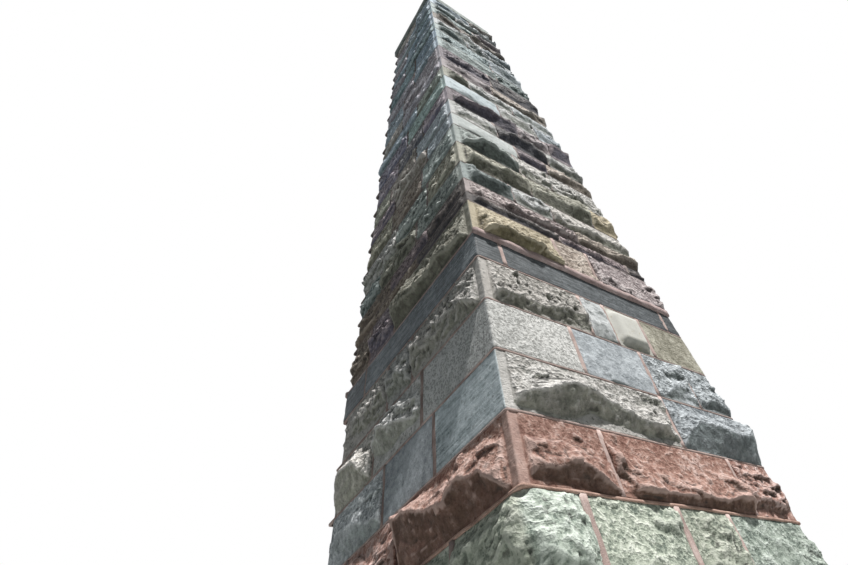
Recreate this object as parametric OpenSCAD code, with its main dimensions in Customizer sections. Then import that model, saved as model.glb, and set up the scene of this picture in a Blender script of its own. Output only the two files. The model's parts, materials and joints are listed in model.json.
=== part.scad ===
/* Tapered square obelisk of coursed stones.
   Every course is a ring of separate rock-faced blocks around a mortared heart.
   Millimetres, +Z up, origin at the centre of the footing on the ground.
   The front face looks along -Y. Sides are numbered 0 front, 1 right, 2 back, 3 left. */

/* [Shaft] */
// Width of the shaft where it stands on the footing
base_w = 2210; // [2100:10:2500]
// Run of each leaning face for a rise of one
taper = 0.079; // [0.06:0.001:0.085]

/* [Footing] */
// Width of the square footing
footing_w = 2520; // [2400:10:3000]
// Height of the footing
footing_h = 250; // [150:10:400]
// Chamfer along the top edge of the footing
footing_chamfer = 35; // [10:5:60]

/* [Courses] */
// Height of each of the six courses above the footing, with its bed joint
lower_course_h = 370; // [300:5:420]
// Height of each of the four tall courses above those
ashlar_course_h = 338; // [260:2:400]
// Height of the slate course
slate_course_h = 226; // [150:2:280]
// Height of the yellow sandstone course
yellow_course_h = 338; // [260:2:400]
// Height of the thin dark course
dark_course_h = 106; // [90:2:180]
// Height of the pink course
pink_course_h = 160; // [110:2:240]
// Height of the white and green course
green_course_h = 226; // [160:2:300]
// Height of each of the two broad courses
broad_course_h = 290; // [200:2:320]
// Height of the first course of pale slabs
slab_course_h = 204; // [150:2:280]
// Height of each of the three middle courses
middle_course_h = 262; // [180:2:320]
// Height of each of the two pale courses above them
pale_course_h = 226; // [160:2:300]
// Height of the purple course
purple_course_h = 330; // [200:2:360]
// Height of each of the two courses above it
high_course_h = 278; // [180:2:320]
// Height of each of the six courses under the capstone
upper_course_h = 200; // [160:2:320]

/* [Stones] */
// Stones that show on a face in the lower, the middle and the upper courses
low_face_stones = 4; // [3:1:5]
mid_face_stones = 3; // [3:1:4]
top_face_stones = 2; // [2:1:3]
// Depth of a stone into the wall, away from the corners
bed_depth = 260; // [200:10:290]
// How far the roughest rock face stands out from the batter line
rock_bulge = 52; // [20:1:60]
// Width of the drafted strip beside each corner arris
draft_w = 72; // [65:1:110]
// Margin worked round a rock face at its upright joints
margin_w = 28; // [10:1:45]
// How far an upright joint may stray, as a share of a stone's length
joint_stray = 0.12; // [0:0.01:0.16]
// How far the panel of the panelled stone stands out
panel_out = 34; // [10:1:45]
// Flat margin round the foot of the panel
panel_margin = 28; // [10:1:40]
// Width of the bevel round the panel
panel_bevel = 32; // [8:1:40]

/* [Mortar] */
// Width of the bed joints and of the upright joints
joint_w = 14; // [8:1:20]
// Distance of the mortar behind the faces of the stones
joint_recess = 10; // [4:1:20]

/* [Capstone] */
// Height of the upright band under the point
cap_band_h = 110; // [60:5:200]
// Height of the point above the band
cap_point_h = 575; // [400:5:800]
// Overhang of the capstone over the shaft
cap_overhang = 12; // [0:1:30]
// Width of the blunt tip
cap_tip_w = 40; // [20:5:80]

/* [Hidden] */

// Number of courses and the height of each, from the footing up
bands = [
    [6, lower_course_h], [4, ashlar_course_h], [1, slate_course_h], [1, yellow_course_h],
    [1, dark_course_h], [1, pink_course_h], [1, green_course_h], [2, broad_course_h],
    [1, slab_course_h], [3, middle_course_h], [2, pale_course_h], [1, purple_course_h],
    [2, high_course_h], [6, upper_course_h]];
course_h = [for (band = bands) each [for (k = [1 : band[0]]) band[1]]];
course_n = len(course_h);

// Last of the lower and last of the middle courses, for the number of stones on a face
low_last = 10;
mid_last = 20;
// How deep a rock face is rooted in its corner stone
root_depth = 20;
// First and last course of each mortar node
mortar_spans = [[1, 8], [9, 16], [17, 24], [25, 32]];

// Upright joints of the courses that differ from the usual bond, as shares of
// the face's width from its left end: [course, side, shares]. Opposite sides are alike,
// so side 0 also stands for side 2, and side 3 for side 1.
set_joints = [
    [6, 0, [0.153, 0.443, 0.64]], [6, 3, [0.22, 0.48, 0.755]],
    [7, 0, [0.27, 0.795]], [7, 3, [0.2, 0.52]],
    [8, 0, [0.61]], [8, 3, [0.41, 0.7]],
    [9, 0, [0.305, 0.618, 0.835]], [9, 3, [0.32, 0.64]],
    [10, 0, [0.415, 0.535, 0.725]], [10, 3, [0.4, 0.58]],
    [11, 0, [0.1, 0.93]], [11, 3, [0.19]],
    [12, 0, [0.41, 0.6]], [12, 3, [0.2, 0.43]],
    [13, 0, [0.46, 0.89]], [13, 3, [0.25, 0.62]],
    [14, 0, [0.6]], [15, 0, [0.26, 0.49]], [16, 0, [0.4, 0.82]],
    [17, 0, [0.38, 0.61]], [17, 3, [0.34, 0.67]],
    [18, 0, [0.43, 0.65]], [18, 3, [0.36, 0.74]],
    [19, 0, [0.316, 0.71]], [20, 0, [0.53, 0.8]],
    [21, 0, [0.43, 0.76]], [21, 3, [0.49]],
    [22, 0, [0.2, 0.6]], [23, 0, [0.45]], [24, 0, [0.49]], [24, 3, [0.4]],
    [25, 0, [0.62]], [25, 3, [0.58]]];

// Dressed stones, counted from 0 at the left end of a side: [course, side, first, last]
dressed = [
    [8, 3, 1, 2], [9, 0, 0, 1], [9, 3, 2, 2], [10, 0, 2, 3], [11, 0, 0, 2], [11, 3, 0, 1],
    [12, 0, 1, 2], [18, 0, 0, 0], [18, 3, 2, 2], [21, 0, 0, 0], [21, 3, 0, 1]];
// The one stone with a raised panel: [course, side, stone]
panelled = [10, 0, 2];

// How far the upright joints sway from course to course, as a share of a stone's length,
// in a row of two stones and in a longer row
pair_sway = 0.24;
row_sway = 0.17;

// Form of a rock face. Heights are shares of the stone's height and reliefs are shares
// of the crown's relief, each as [least, spread].
crown_place = [0.3, 0.4];
crown_height = [0.24, 0.2];
ridge_end_height = [0.16, 0.14];
slope_height = [0.64, 0.16];
ridge_end_out = [0.65, 0.3];
slope_out = [0.42, 0.3];
bulge_span = [0.5, 0.5];
// Greatest relief of a rock face as a share of its stone's height
bulge_limit = 0.3;

// Colour of the stone in each course
tints = [
    "#9aa39a", "#a9a497", "#8f9a92", "#a39a8c", "#98a49c", "#b0b8a8",
    "#8f5a4a", "#a9aca4", "#a5a8a2", "#9a9d98", "#474c52", "#b9a77c",
    "#5b4a44", "#8d7672", "#a8a79c", "#9c9478", "#8f9a88", "#c2c6bc",
    "#8c6f62", "#6f5f60", "#b6bdb0", "#a39a80", "#a98f7c", "#5c5052",
    "#87908a", "#8b958a", "#7d7466", "#8f867a", "#76706a", "#93968c",
    "#857a6c", "#8d8f86"];

// Height of the bottom of course i, counted from 1
function level(i) = i <= 1 ? footing_h : level(i - 1) + course_h[i - 2];
// Half of the shaft's width at height z
function half(z) = base_w / 2 - taper * (z - footing_h);
// Height of the bottom and the top of the stones of course i
function bottom_z(i) = level(i) + joint_w;
function top_z(i) = level(i + 1);
// A number from 0 to 1 that looks random and stays the same for the same two keys
function chance(a, b) = let (v = abs(sin(a * 127.1 + b * 311.7)) * 43758.5453) v - floor(v);

// Number of stones that show on a face of course i
function face_stones(i) =
    i <= low_last ? low_face_stones : i <= mid_last ? mid_face_stones : top_face_stones;
// The usual bond: even shares, moved to and fro from course to course
function usual_shares(i, side) =
    let (n = face_stones(i), sway = (i % 2 == 0 ? 1 : -1) * (n == 2 ? pair_sway : row_sway))
    [for (j = [1 : n - 1])
        (j + sway + joint_stray * (chance(i * 4 + side, j) - 0.5)) / n];
// The side whose rows describe this side
function row_side(side) = side % 2 == 0 ? 0 : 3;
function set_row(i, side) = [for (row = set_joints) if (row[0] == i && row[1] == row_side(side)) row[2]];
function shares(i, side) = let (row = set_row(i, side)) len(row) > 0 ? row[0] : usual_shares(i, side);
function is_dressed(i, side, j) =
    len([for (d = dressed) if (d[0] == i && d[1] == row_side(side) && d[2] <= j && j <= d[3]) d]) > 0;
// A number within a span given as [least, spread]
function pick(span, a, b) = span[0] + span[1] * chance(a, b);

// Relief of stone j on a side of course i
function bulge(i, side, j) =
    min(rock_bulge * pick(bulge_span, i * 4 + side, j + 40), bulge_limit * (top_z(i) - bottom_z(i)));

// Extent of the corner stone at the left end of a side: along it and along the side before
function corner_l(i, side) = shares(i, side)[0] * 2 * half(top_z(i)) - joint_w / 2;
function corner_s(i, side) =
    let (row = shares(i, (side + 3) % 4))
    (1 - row[len(row) - 1]) * 2 * half(top_z(i)) - joint_w / 2;
// Ends of middle stone j of a side
function middle_x0(i, side, j) = (2 * shares(i, side)[j] - 1) * half(top_z(i)) + joint_w / 2;
function middle_x1(i, side, j) = (2 * shares(i, side)[j + 1] - 1) * half(top_z(i)) - joint_w / 2;

// The five outer points of a rock face on the front, between x0 and x1: a ridge of
// three that stands out furthest, below the middle, and two above that lean back
function rock_points(i, key, x0, x1, out) =
    let (z0 = bottom_z(i), h = top_z(i) - z0,
        low = z0 + h * pick(ridge_end_height, key, 1), high = z0 + h * pick(slope_height, key, 2),
        crown = z0 + h * pick(crown_height, key, 3))
    [[x0, -half(low) - out * pick(ridge_end_out, key, 4), low],
     [x0 + (x1 - x0) * pick(crown_place, key, 5), -half(crown) - out, crown],
     [x1, -half(low) - out * pick(ridge_end_out, key, 6), low],
     [x1, -half(high) - out * pick(slope_out, key, 7), high],
     [x0, -half(high) - out * pick(slope_out, key, 8), high]];

// Four points of a leaning rectangle on the front at depth d, between x0 and x1 and
// between heights z0 and z1
function lean_points(x0, x1, z0, z1, d) =
    [for (z = [z0, z1]) each [[x0, d - half(z), z], [x1, d - half(z), z]]];
// The same over the whole height of the stones of course i
function face_points(i, x0, x1, d) = lean_points(x0, x1, bottom_z(i), top_z(i), d);

// The block that spans the points
module block(points) {
    hull() polyhedron(points, [for (k = [0 : len(points) - 3]) [k, k + 1, k + 2]]);
}

// Rock face on the front between x0 and x1, rooted in the stone behind it
module rock_face(i, key, x0, x1, out) {
    block(concat(face_points(i, x0, x1, 0), face_points(i, x0, x1, root_depth),
        rock_points(i, key, x0 + margin_w, x1 - margin_w, out)));
}

// Raised panel with a bevel all round, on the face of a dressed stone between x0 and x1
module raised_panel(i, x0, x1) {
    foot = panel_margin;
    crown = panel_margin + panel_bevel;
    block(concat(
        lean_points(x0 + foot, x1 - foot, bottom_z(i) + foot, top_z(i) - foot, root_depth),
        lean_points(x0 + foot, x1 - foot, bottom_z(i) + foot, top_z(i) - foot, 0),
        lean_points(x0 + crown, x1 - crown, bottom_z(i) + crown, top_z(i) - crown, -panel_out)));
}

// Corner stone at the left end of the front. Its drafted strips stay flat on both
// sides of the arris, and the rock faces stand out beyond them.
module corner_stone(i, side) {
    z0 = bottom_z(i);
    z1 = top_z(i);
    inner_x = -half(z1) + corner_l(i, side);
    inner_y = -half(z1) + corner_s(i, side);
    strip = half(z0) - draft_w;
    before = (side + 3) % 4;
    least_rock_w = 3 * margin_w;
    block([for (z = [z0, z1]) each [
        [-half(z), -half(z), z], [inner_x, -half(z), z],
        [inner_x, inner_y, z], [-half(z), inner_y, z]]]);
    if (!is_dressed(i, side, 0) && inner_x + strip > least_rock_w)
        rock_face(i, i * 97 + side * 7, -strip, inner_x, bulge(i, side, 0));
    if (!is_dressed(i, before, len(shares(i, before))) && strip + inner_y > least_rock_w)
        rotate([0, 0, -90])
            rock_face(i, i * 89 + side * 5, -inner_y, strip, bulge(i, before, 9));
}

// Stone between the corner stones of the front
module middle_stone(i, side, j) {
    x0 = middle_x0(i, side, j);
    x1 = middle_x1(i, side, j);
    inner_y = bed_depth - half(top_z(i));
    body = concat(face_points(i, x0, x1, 0),
        [for (z = [bottom_z(i), top_z(i)]) each [[x0, inner_y, z], [x1, inner_y, z]]]);
    if ([i, side, j + 1] == panelled) raised_panel(i, x0, x1);
    block(is_dressed(i, side, j + 1)
        ? body
        : concat(body, rock_points(i, i * 83 + side * 11 + j, x0 + margin_w, x1 - margin_w,
            bulge(i, side, j + 1))));
}

// All stones of course i
module course(i) {
    color(tints[i - 1])
        for (side = [0 : 3])
            rotate([0, 0, 90 * side]) {
                corner_stone(i, side);
                for (j = [0 : 1 : len(shares(i, side)) - 2]) middle_stone(i, side, j);
            }
}

// Plan of the mortar between and behind the stones of course i
module joint_plan(i) {
    a = half(top_z(i));
    difference() {
        square(2 * (a - joint_recess), center = true);
        for (side = [0 : 3])
            rotate(90 * side) {
                translate([-a - bed_depth, -a - bed_depth])
                    square([corner_l(i, side) + bed_depth, corner_s(i, side) + bed_depth]);
                for (j = [0 : 1 : len(shares(i, side)) - 2])
                    translate([middle_x0(i, side, j), -a - bed_depth])
                        square([middle_x1(i, side, j) - middle_x0(i, side, j), 2 * bed_depth]);
            }
    }
}

// Bed joint under course i, or under the capstone past the last course
module bed_joint(i) {
    a = half(bottom_z(i)) - joint_recess;
    translate([-a, -a, level(i)]) cube([2 * a, 2 * a, joint_w]);
}

// Mortar of one span of courses: beds, upright joints and heart
module mortar(span) {
    color("#8f6a60") {
        for (i = [span[0] : span[1]]) {
            bed_joint(i);
            translate([0, 0, bottom_z(i)])
                linear_extrude(top_z(i) - bottom_z(i)) joint_plan(i);
        }
        if (span[1] == course_n) bed_joint(course_n + 1);
    }
}

// Square block through three rings, each given as [half width, height]
module square_rings(rings) {
    polyhedron(
        [for (r = rings)
            each [[-r[0], -r[0], r[1]], [r[0], -r[0], r[1]], [r[0], r[0], r[1]], [-r[0], r[0], r[1]]]],
        concat([[0, 1, 2, 3], [11, 10, 9, 8]],
            [for (r = [0, 4], k = [0 : 3]) [r + k, r + 4 + k, r + 4 + (k + 1) % 4, r + (k + 1) % 4]]));
}

// Square footing with a chamfered top edge
module footing() {
    a = footing_w / 2;
    color("#9b988f")
        square_rings([[a, 0], [a, footing_h - footing_chamfer], [a - footing_chamfer, footing_h]]);
}

// Capstone: an upright band and a low point, on its own bed of mortar
module capstone() {
    z0 = bottom_z(course_n + 1);
    z1 = z0 + cap_band_h;
    a = half(z0) + cap_overhang;
    color("#8a8c84")
        square_rings([[a, z0], [a, z1], [cap_tip_w / 2, z1 + cap_point_h]]);
}

footing();
course(1);  // course_01
course(2);  // course_02
course(3);  // course_03
course(4);  // course_04
course(5);  // course_05
course(6);  // course_06
course(7);  // course_07
course(8);  // course_08
course(9);  // course_09
course(10);  // course_10
course(11);  // course_11
course(12);  // course_12
course(13);  // course_13
course(14);  // course_14
course(15);  // course_15
course(16);  // course_16
course(17);  // course_17
course(18);  // course_18
course(19);  // course_19
course(20);  // course_20
course(21);  // course_21
course(22);  // course_22
course(23);  // course_23
course(24);  // course_24
course(25);  // course_25
course(26);  // course_26
course(27);  // course_27
course(28);  // course_28
course(29);  // course_29
course(30);  // course_30
course(31);  // course_31
course(32);  // course_32
mortar(mortar_spans[0]);  // mortar_base
mortar(mortar_spans[1]);  // mortar_lower
mortar(mortar_spans[2]);  // mortar_middle
mortar(mortar_spans[3]);  // mortar_upper
capstone();
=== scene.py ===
"""Dresses a tapered square obelisk: stones in courses, raised mortar joints, footing and capstone."""

import json
import logging
import math
from dataclasses import dataclass, field, replace
from enum import Enum

import bpy
import numpy as np
from mathutils import Matrix, Vector


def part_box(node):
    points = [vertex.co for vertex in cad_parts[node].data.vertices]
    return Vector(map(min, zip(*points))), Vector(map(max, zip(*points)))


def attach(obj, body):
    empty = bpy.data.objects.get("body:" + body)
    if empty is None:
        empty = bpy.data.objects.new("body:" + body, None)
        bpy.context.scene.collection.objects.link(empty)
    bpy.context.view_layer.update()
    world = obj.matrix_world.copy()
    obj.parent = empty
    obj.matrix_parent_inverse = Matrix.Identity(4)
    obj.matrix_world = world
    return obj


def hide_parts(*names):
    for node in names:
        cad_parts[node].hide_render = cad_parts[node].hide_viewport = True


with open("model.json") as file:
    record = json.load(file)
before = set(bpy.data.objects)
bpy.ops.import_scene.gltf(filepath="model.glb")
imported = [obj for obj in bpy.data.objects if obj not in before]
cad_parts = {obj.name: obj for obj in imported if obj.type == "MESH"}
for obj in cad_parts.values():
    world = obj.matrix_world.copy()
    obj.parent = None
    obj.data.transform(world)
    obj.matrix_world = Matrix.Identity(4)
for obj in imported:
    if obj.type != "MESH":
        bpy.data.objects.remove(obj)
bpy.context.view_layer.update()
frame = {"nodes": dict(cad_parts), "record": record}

log = logging.getLogger("obelisk")
BODY = "root"
COURSES = 32
SIDES = 4

Grid = np.ndarray
Colour = tuple[float, float, float]
Ridge = float | tuple[float, ...] | None
WHITE: Colour = (1.0, 1.0, 1.0)


def srgb(code: str) -> Colour:
    """Turns a colour code of six hex digits into linear red, green and blue."""
    parts = [int(code[k:k + 2], 16) / 255 for k in (0, 2, 4)]
    return tuple(p / 12.92 if p <= 0.04045 else ((p + 0.055) / 1.055) ** 2.4 for p in parts)


def chance(a: float, b: float) -> float:
    """Number from 0 to 1 that looks random and stays the same for the same two keys."""
    value = abs(math.sin(math.radians(a * 127.1 + b * 311.7))) * 43758.5453
    return value - math.floor(value)


def pick(low: float, high: float, a: float, b: float) -> float:
    """Number between low and high, chosen by the two keys."""
    return low + (high - low) * chance(a, b)


class Noise:
    """Smooth random fields on the plane, worked out for whole arrays of points."""

    LAYER_SHIFT: tuple[float, float] = (17.3, -9.1)
    LAYER_GAIN: float = 1.6
    JITTER: float = 0.42
    BOWL_STRAY: float = 0.25
    BOWL_MIDDLE: float = 0.1
    BOWL_GAIN: float = 1.5
    DEEP: float = -0.5
    DEEP_SHARE: float = 0.3
    STEP_GAIN: float = 2.6
    RISER: float = 0.72

    @staticmethod
    def lattice(i: Grid, j: Grid, seed: int) -> Grid:
        """Random number from -1 to 1 for each whole point of a lattice.

        The two whole numbers and the seed are multiplied by large odd numbers, mixed by
        exclusive-or and shifts, and scaled.

        Args:
            i: Whole first coordinates.
            j: Whole second coordinates.
            seed: Number that picks one field of many.

        Returns:
            Array of numbers from -1 to 1.
        """
        n = i.astype(np.int64) * 374761393 + j.astype(np.int64) * 668265263 + seed * 2246822519
        n = n & 0xFFFFFFFF
        n = ((n ^ (n >> 13)) * 1274126177) & 0xFFFFFFFF
        n = ((n ^ (n >> 16)) * 2654435761) & 0xFFFFFFFF
        return (n ^ (n >> 15)) / 0x7FFFFFFF - 1.0

    @classmethod
    def smooth(cls, x: Grid, y: Grid, seed: int) -> Grid:
        """Value noise: lattice numbers blended by the curve 6t^5 - 15t^4 + 10t^3.

        Args:
            x: First coordinates, in cells.
            y: Second coordinates, in cells.
            seed: Number that picks the field.

        Returns:
            Array of numbers from -1 to 1.
        """
        i, j = np.floor(x), np.floor(y)
        u, v = x - i, y - j
        u, v = (t * t * t * (t * (t * 6 - 15) + 10) for t in (u, v))
        low = cls.lattice(i, j, seed) * (1 - u) + cls.lattice(i + 1, j, seed) * u
        high = cls.lattice(i, j + 1, seed) * (1 - u) + cls.lattice(i + 1, j + 1, seed) * u
        return low * (1 - v) + high * v

    @classmethod
    def layers(cls, x: Grid, y: Grid, size: float, count: int, seed: int) -> Grid:
        """Sum of value noise, each layer half as large and half as high as the one before.

        The sum is divided by the sum of the layers' weights and raised by a gain.

        Args:
            x: First coordinates in metres.
            y: Second coordinates in metres.
            size: Cell size of the first layer in metres.
            count: Number of layers.
            seed: Number that picks the field.

        Returns:
            Array of numbers that mostly lie between -1 and 1.
        """
        total, weight, reach = np.zeros(np.broadcast(x, y).shape), 1.0, 0.0
        right, up = cls.LAYER_SHIFT
        for k in range(count):
            total += weight * cls.smooth(x / size + right * k, y / size + up * k, seed + 31 * k)
            reach += weight
            size, weight = size / 2, weight / 2
        return total / reach * cls.LAYER_GAIN

    @classmethod
    def scoops(cls, x: Grid, y: Grid, size: float, tilt: float, seed: int) -> Grid:
        """Shell-like hollows that meet in sharp ridges, as struck stone has.

        Every cell of a grid has one jittered centre with a random height and slope. The field
        is the lowest of the bowls height + slope . d + d^2 over the nine nearest centres, less
        the bowls' middle height and times a gain. What lies deeper than a limit goes down
        less steeply.

        Args:
            x: First coordinates in metres.
            y: Second coordinates in metres.
            size: Size of a cell in metres.
            tilt: How steep the bowls may lean.
            seed: Number that picks the field.

        Returns:
            Array of heights, mostly between -1 and 1.
        """
        x, y = x / size, y / size
        i, j = np.floor(x), np.floor(y)
        lowest = np.full(np.broadcast(x, y).shape, 9.0)
        for a in (-1, 0, 1):
            for b in (-1, 0, 1):
                ci, cj = i + a, j + b
                dx = x - ci - 0.5 - cls.JITTER * cls.lattice(ci, cj, seed)
                dy = y - cj - 0.5 - cls.JITTER * cls.lattice(ci, cj, seed + 1)
                lean = tilt * (cls.lattice(ci, cj, seed + 2) * dx + cls.lattice(ci, cj, seed + 3) * dy)
                bowl = cls.BOWL_STRAY * cls.lattice(ci, cj, seed + 4) + lean + dx * dx + dy * dy
                lowest = np.minimum(lowest, bowl)
        height = (lowest - cls.BOWL_MIDDLE) * cls.BOWL_GAIN
        return np.where(height < cls.DEEP, cls.DEEP + cls.DEEP_SHARE * (height - cls.DEEP), height)

    @classmethod
    def steps(cls, x: Grid, y: Grid, size: float, seed: int) -> Grid:
        """Thin layers broken away one over another: smooth noise cut into flats with steep risers.

        The risers take up the last part of each unit of the noise.

        Args:
            x: First coordinates in metres.
            y: Second coordinates in metres.
            size: Cell size of the noise in metres.
            seed: Number that picks the field.

        Returns:
            Array of heights, one unit a layer.
        """
        level = cls.layers(x, y, size, 4, seed) * cls.STEP_GAIN
        part = level - np.floor(level)
        return np.floor(level) + rise(part, cls.RISER, 1.0)

    @staticmethod
    def blurred(h: Grid, passes: int) -> Grid:
        """Field smoothed by the weights 1, 2, 1 along both directions, a number of times.

        Args:
            h: Field of two dimensions.
            passes: Number of times.

        Returns:
            Smoothed field of the same shape.
        """
        for _ in range(passes):
            p = np.pad(h, 1, mode="edge")
            h = (p[:-2] + 2 * p[1:-1] + p[2:]) / 4
            h = (h[:, :-2] + 2 * h[:, 1:-1] + h[:, 2:]) / 4
        return h


@dataclass(frozen=True)
class Wave:
    """Value noise with its amount, the size of its first layer in metres and its layers."""

    amount: float
    size: float
    count: int = 3

    def at(self, x: Grid, y: "Grid | float", seed: int) -> Grid:
        """The noise of one seed at points in metres."""
        return self.amount * Noise.layers(x, y, self.size, self.count, seed)


def rise(x: Grid, low: float, high: float) -> Grid:
    """Smooth step from 0 at low to 1 at high."""
    t = np.clip((x - low) / (high - low), 0, 1)
    return t * t * (3 - 2 * t)


class Work(Enum):
    """How the face of a stone is worked."""

    ROCK = "rock"
    BROWED = "browed"
    RUGGED = "rugged"
    CRAGGED = "cragged"
    LEDGED = "ledged"
    BEDDED = "bedded"
    PITTED = "pitted"
    BOULDER = "boulder"
    SPLIT = "split"
    SAWN = "sawn"
    SLATE = "slate"
    PANEL = "panel"


@dataclass(frozen=True)
class FaceForm:
    """Measures of one way of working a face, in metres where they are lengths.

    Ridge and wander are shares of the stone's height. Bite is the share of the crest that
    large hollows take from the upper slope, and foot is the share of the ridge's height where
    the underside starts. Scoop, chip, grain, step and ledge are heights of the kinds of
    roughness, stretch draws them out along the stone, and calm is how much of them the
    underside keeps. Fine is how much of the material's own roughness shows. Least is the
    lowest relief, and the two slopes are those of the cut at the edges.
    """

    out: float
    ridge: float = 0.42
    wander: float = 0.12
    wander_size: float = 0.24
    bite: float = 0.3
    bite_size: float = 0.19
    bite_tilt: float = 1.6
    under_curve: float = 1.15
    foot: float = 0.0
    over_curve: float = 0.85
    scoop: float = 0.014
    scoop_size: float = 0.115
    scoop_tilt: float = 1.7
    chip: float = 0.008
    chip_size: float = 0.042
    chip_tilt: float = 1.8
    grain: float = 0.003
    grain_size: float = 0.018
    stretch: float = 1.3
    step: float = 0.0
    step_size: float = 0.16
    ledge: float = 0.0
    ledge_pitch: float = 0.05
    calm: float = 0.22
    fine: float = 1.0
    least: float = 0.003
    edge_slope: float = 2.4
    top_slope: float = 1.8


FORMS: dict[Work, FaceForm] = {
    Work.ROCK: FaceForm(out=0.072, ridge=0.3, under_curve=0.85, scoop=0.014, step=0.005, calm=0.35),
    Work.BROWED: FaceForm(out=0.09, ridge=0.4, foot=0.35, under_curve=0.9, bite=0.45, bite_size=0.13,
                          scoop=0.016, step=0.006, calm=0.45),
    Work.RUGGED: FaceForm(out=0.07, ridge=0.45, wander=0.2, bite=0.25, bite_size=0.16, scoop=0.014,
                          scoop_size=0.09, chip=0.009, chip_size=0.036, stretch=1.4, step=0.005,
                          step_size=0.14, calm=0.3),
    Work.CRAGGED: FaceForm(out=0.07, ridge=0.2, wander=0.1, bite=0.3, bite_size=0.14,
                           scoop=0.015, scoop_size=0.15, chip=0.009, chip_size=0.055, grain=0.002,
                           stretch=1.3, step=0.008, step_size=0.24, calm=0.5),
    Work.LEDGED: FaceForm(out=0.036, ridge=0.35, bite=0.4, scoop=0.016, scoop_size=0.085, chip=0.010,
                          chip_size=0.034, stretch=1.6, step=0.006, ledge=0.022, ledge_pitch=0.062, calm=0.9,
                          fine=1.6),
    Work.BEDDED: FaceForm(out=0.024, ridge=0.2, wander=0.1, bite=0.3, scoop=0.009, scoop_size=0.08,
                          chip=0.006, chip_size=0.034, stretch=1.6, step=0.004, ledge=0.011,
                          ledge_pitch=0.05, calm=0.9, fine=1.3),
    Work.PITTED: FaceForm(out=0.055, ridge=0.3, wander=0.1, bite=0.15, scoop=0.008, chip=0.014,
                          chip_size=0.027, grain=0.004, calm=0.6),
    Work.BOULDER: FaceForm(out=0.066, ridge=0.45, wander=0.2, bite=0.1, under_curve=0.5, over_curve=0.5,
                           scoop=0.018, scoop_size=0.16, chip=0.009, chip_size=0.05, grain=0.003, step=0.006,
                           step_size=0.2, stretch=1.3, calm=0.9, edge_slope=1.3),
    Work.SPLIT: FaceForm(out=0.018, ridge=0.4, under_curve=0.3, over_curve=0.3, scoop=0.006,
                         chip=0.003, grain=0.0015, calm=0.8, fine=0.3, edge_slope=1.6),
    Work.SAWN: FaceForm(out=0.003, grain=0.0007, grain_size=0.12, fine=0.3),
    Work.SLATE: FaceForm(out=0.004, grain=0.0012, grain_size=0.05, fine=0.3),
    Work.PANEL: FaceForm(out=0.003, grain=0.0005, grain_size=0.12, fine=0.04),
}
FLAT_WORKS = (Work.SAWN, Work.SLATE, Work.PANEL)


class Rock(Enum):
    """Kinds of stone in the shaft."""

    MINT = "mint_stone"
    RED = "red_sandstone"
    WHITE = "white_grey_stone"
    BLUE = "blue_grey_stone"
    STREAKED = "streaked_blue_stone"
    GRANITE = "speckled_granite"
    MOTTLED = "mottled_grey_stone"
    SLATE = "dark_slate"
    YELLOW = "yellow_sandstone"
    BUFF = "buff_stone"
    PINK = "pink_grey_stone"
    PURPLE = "purple_brown_stone"
    BLACK = "dark_brown_stone"
    OLIVE = "olive_grey_stone"
    MARBLE = "white_marble"
    GREEN = "green_grey_stone"
    CREAM = "cream_stone"
    BROWN = "warm_brown_stone"


class Wire:
    """A number on its way through a material: an output socket with arithmetic."""

    def __init__(self, bench: "Bench", socket: bpy.types.NodeSocket) -> None:
        """Holds the socket and the bench that its nodes are made on."""
        self.bench = bench
        self.socket = socket

    def math(self, operation: str, *others: "Wire | float") -> "Wire":
        """Result of one Math node on this number and the others."""
        return self.bench.node("ShaderNodeMath", {"operation": operation}, {
            k: value for k, value in enumerate((self, *others))})

    def __add__(self, other: "Wire | float") -> "Wire":
        """Sum of two numbers."""
        return self.math("ADD", other)

    def __sub__(self, other: "Wire | float") -> "Wire":
        """This number less another."""
        return self.math("SUBTRACT", other)

    def __rsub__(self, other: float) -> "Wire":
        """A plain number less this one."""
        return self.math("MULTIPLY", -1.0).math("ADD", other)

    def __mul__(self, other: "Wire | float") -> "Wire":
        """Product of two numbers."""
        return self.math("MULTIPLY", other)

    __radd__ = __add__
    __rmul__ = __mul__

    def step(self, low: float, high: float) -> "Wire":
        """Smooth step of this number from 0 at low to 1 at high."""
        return self.bench.node("ShaderNodeMapRange", {"interpolation_type": "SMOOTHSTEP"}, {
            "Value": self, "From Min": low, "From Max": high})


class Bench:
    """Workbench for one tree of nodes: makes the nodes and joins them."""

    def __init__(self, owner: "bpy.types.Material | bpy.types.World", end: str) -> None:
        """Empties a tree of nodes and gives it its output node.

        Args:
            owner: Material or world that has the tree.
            end: Type name of the output node.
        """
        owner.use_nodes = True
        self.tree = owner.node_tree
        self.tree.nodes.clear()
        self.surface = self.tree.nodes.new(end).inputs["Surface"]

    def put(self, socket: bpy.types.NodeSocket, value: object) -> None:
        """Gives a socket its value, or joins it to a wire.

        Args:
            socket: Input socket.
            value: Wire, number, vector or colour.
        """
        if isinstance(value, Wire):
            self.tree.links.new(value.socket, socket)
        elif socket.type == "RGBA":
            socket.default_value = (*value, 1.0)
        else:
            socket.default_value = value

    def node(self, kind: str, settings: dict | None = None, values: dict | None = None,
             output: str | int = 0) -> Wire:
        """Makes one node.

        Args:
            kind: Type name of the node.
            settings: Its own settings, which are set first. "stops" fills a colour ramp.
            values: Values or wires for its inputs, by name or number.
            output: Name or number of the output that is returned.

        Returns:
            The chosen output.
        """
        made = self.tree.nodes.new(kind)
        for key, value in (settings or {}).items():
            if key == "stops":
                ramp = made.color_ramp
                while len(ramp.elements) < len(value):
                    ramp.elements.new(0.5)
                for element, (position, colour) in zip(ramp.elements, value):
                    element.position = position
                    element.color = (*colour, 1.0)
            else:
                setattr(made, key, value)
        for key, value in (values or {}).items():
            self.put(made.inputs[key], value)
        return Wire(self, made.outputs[output])


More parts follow.
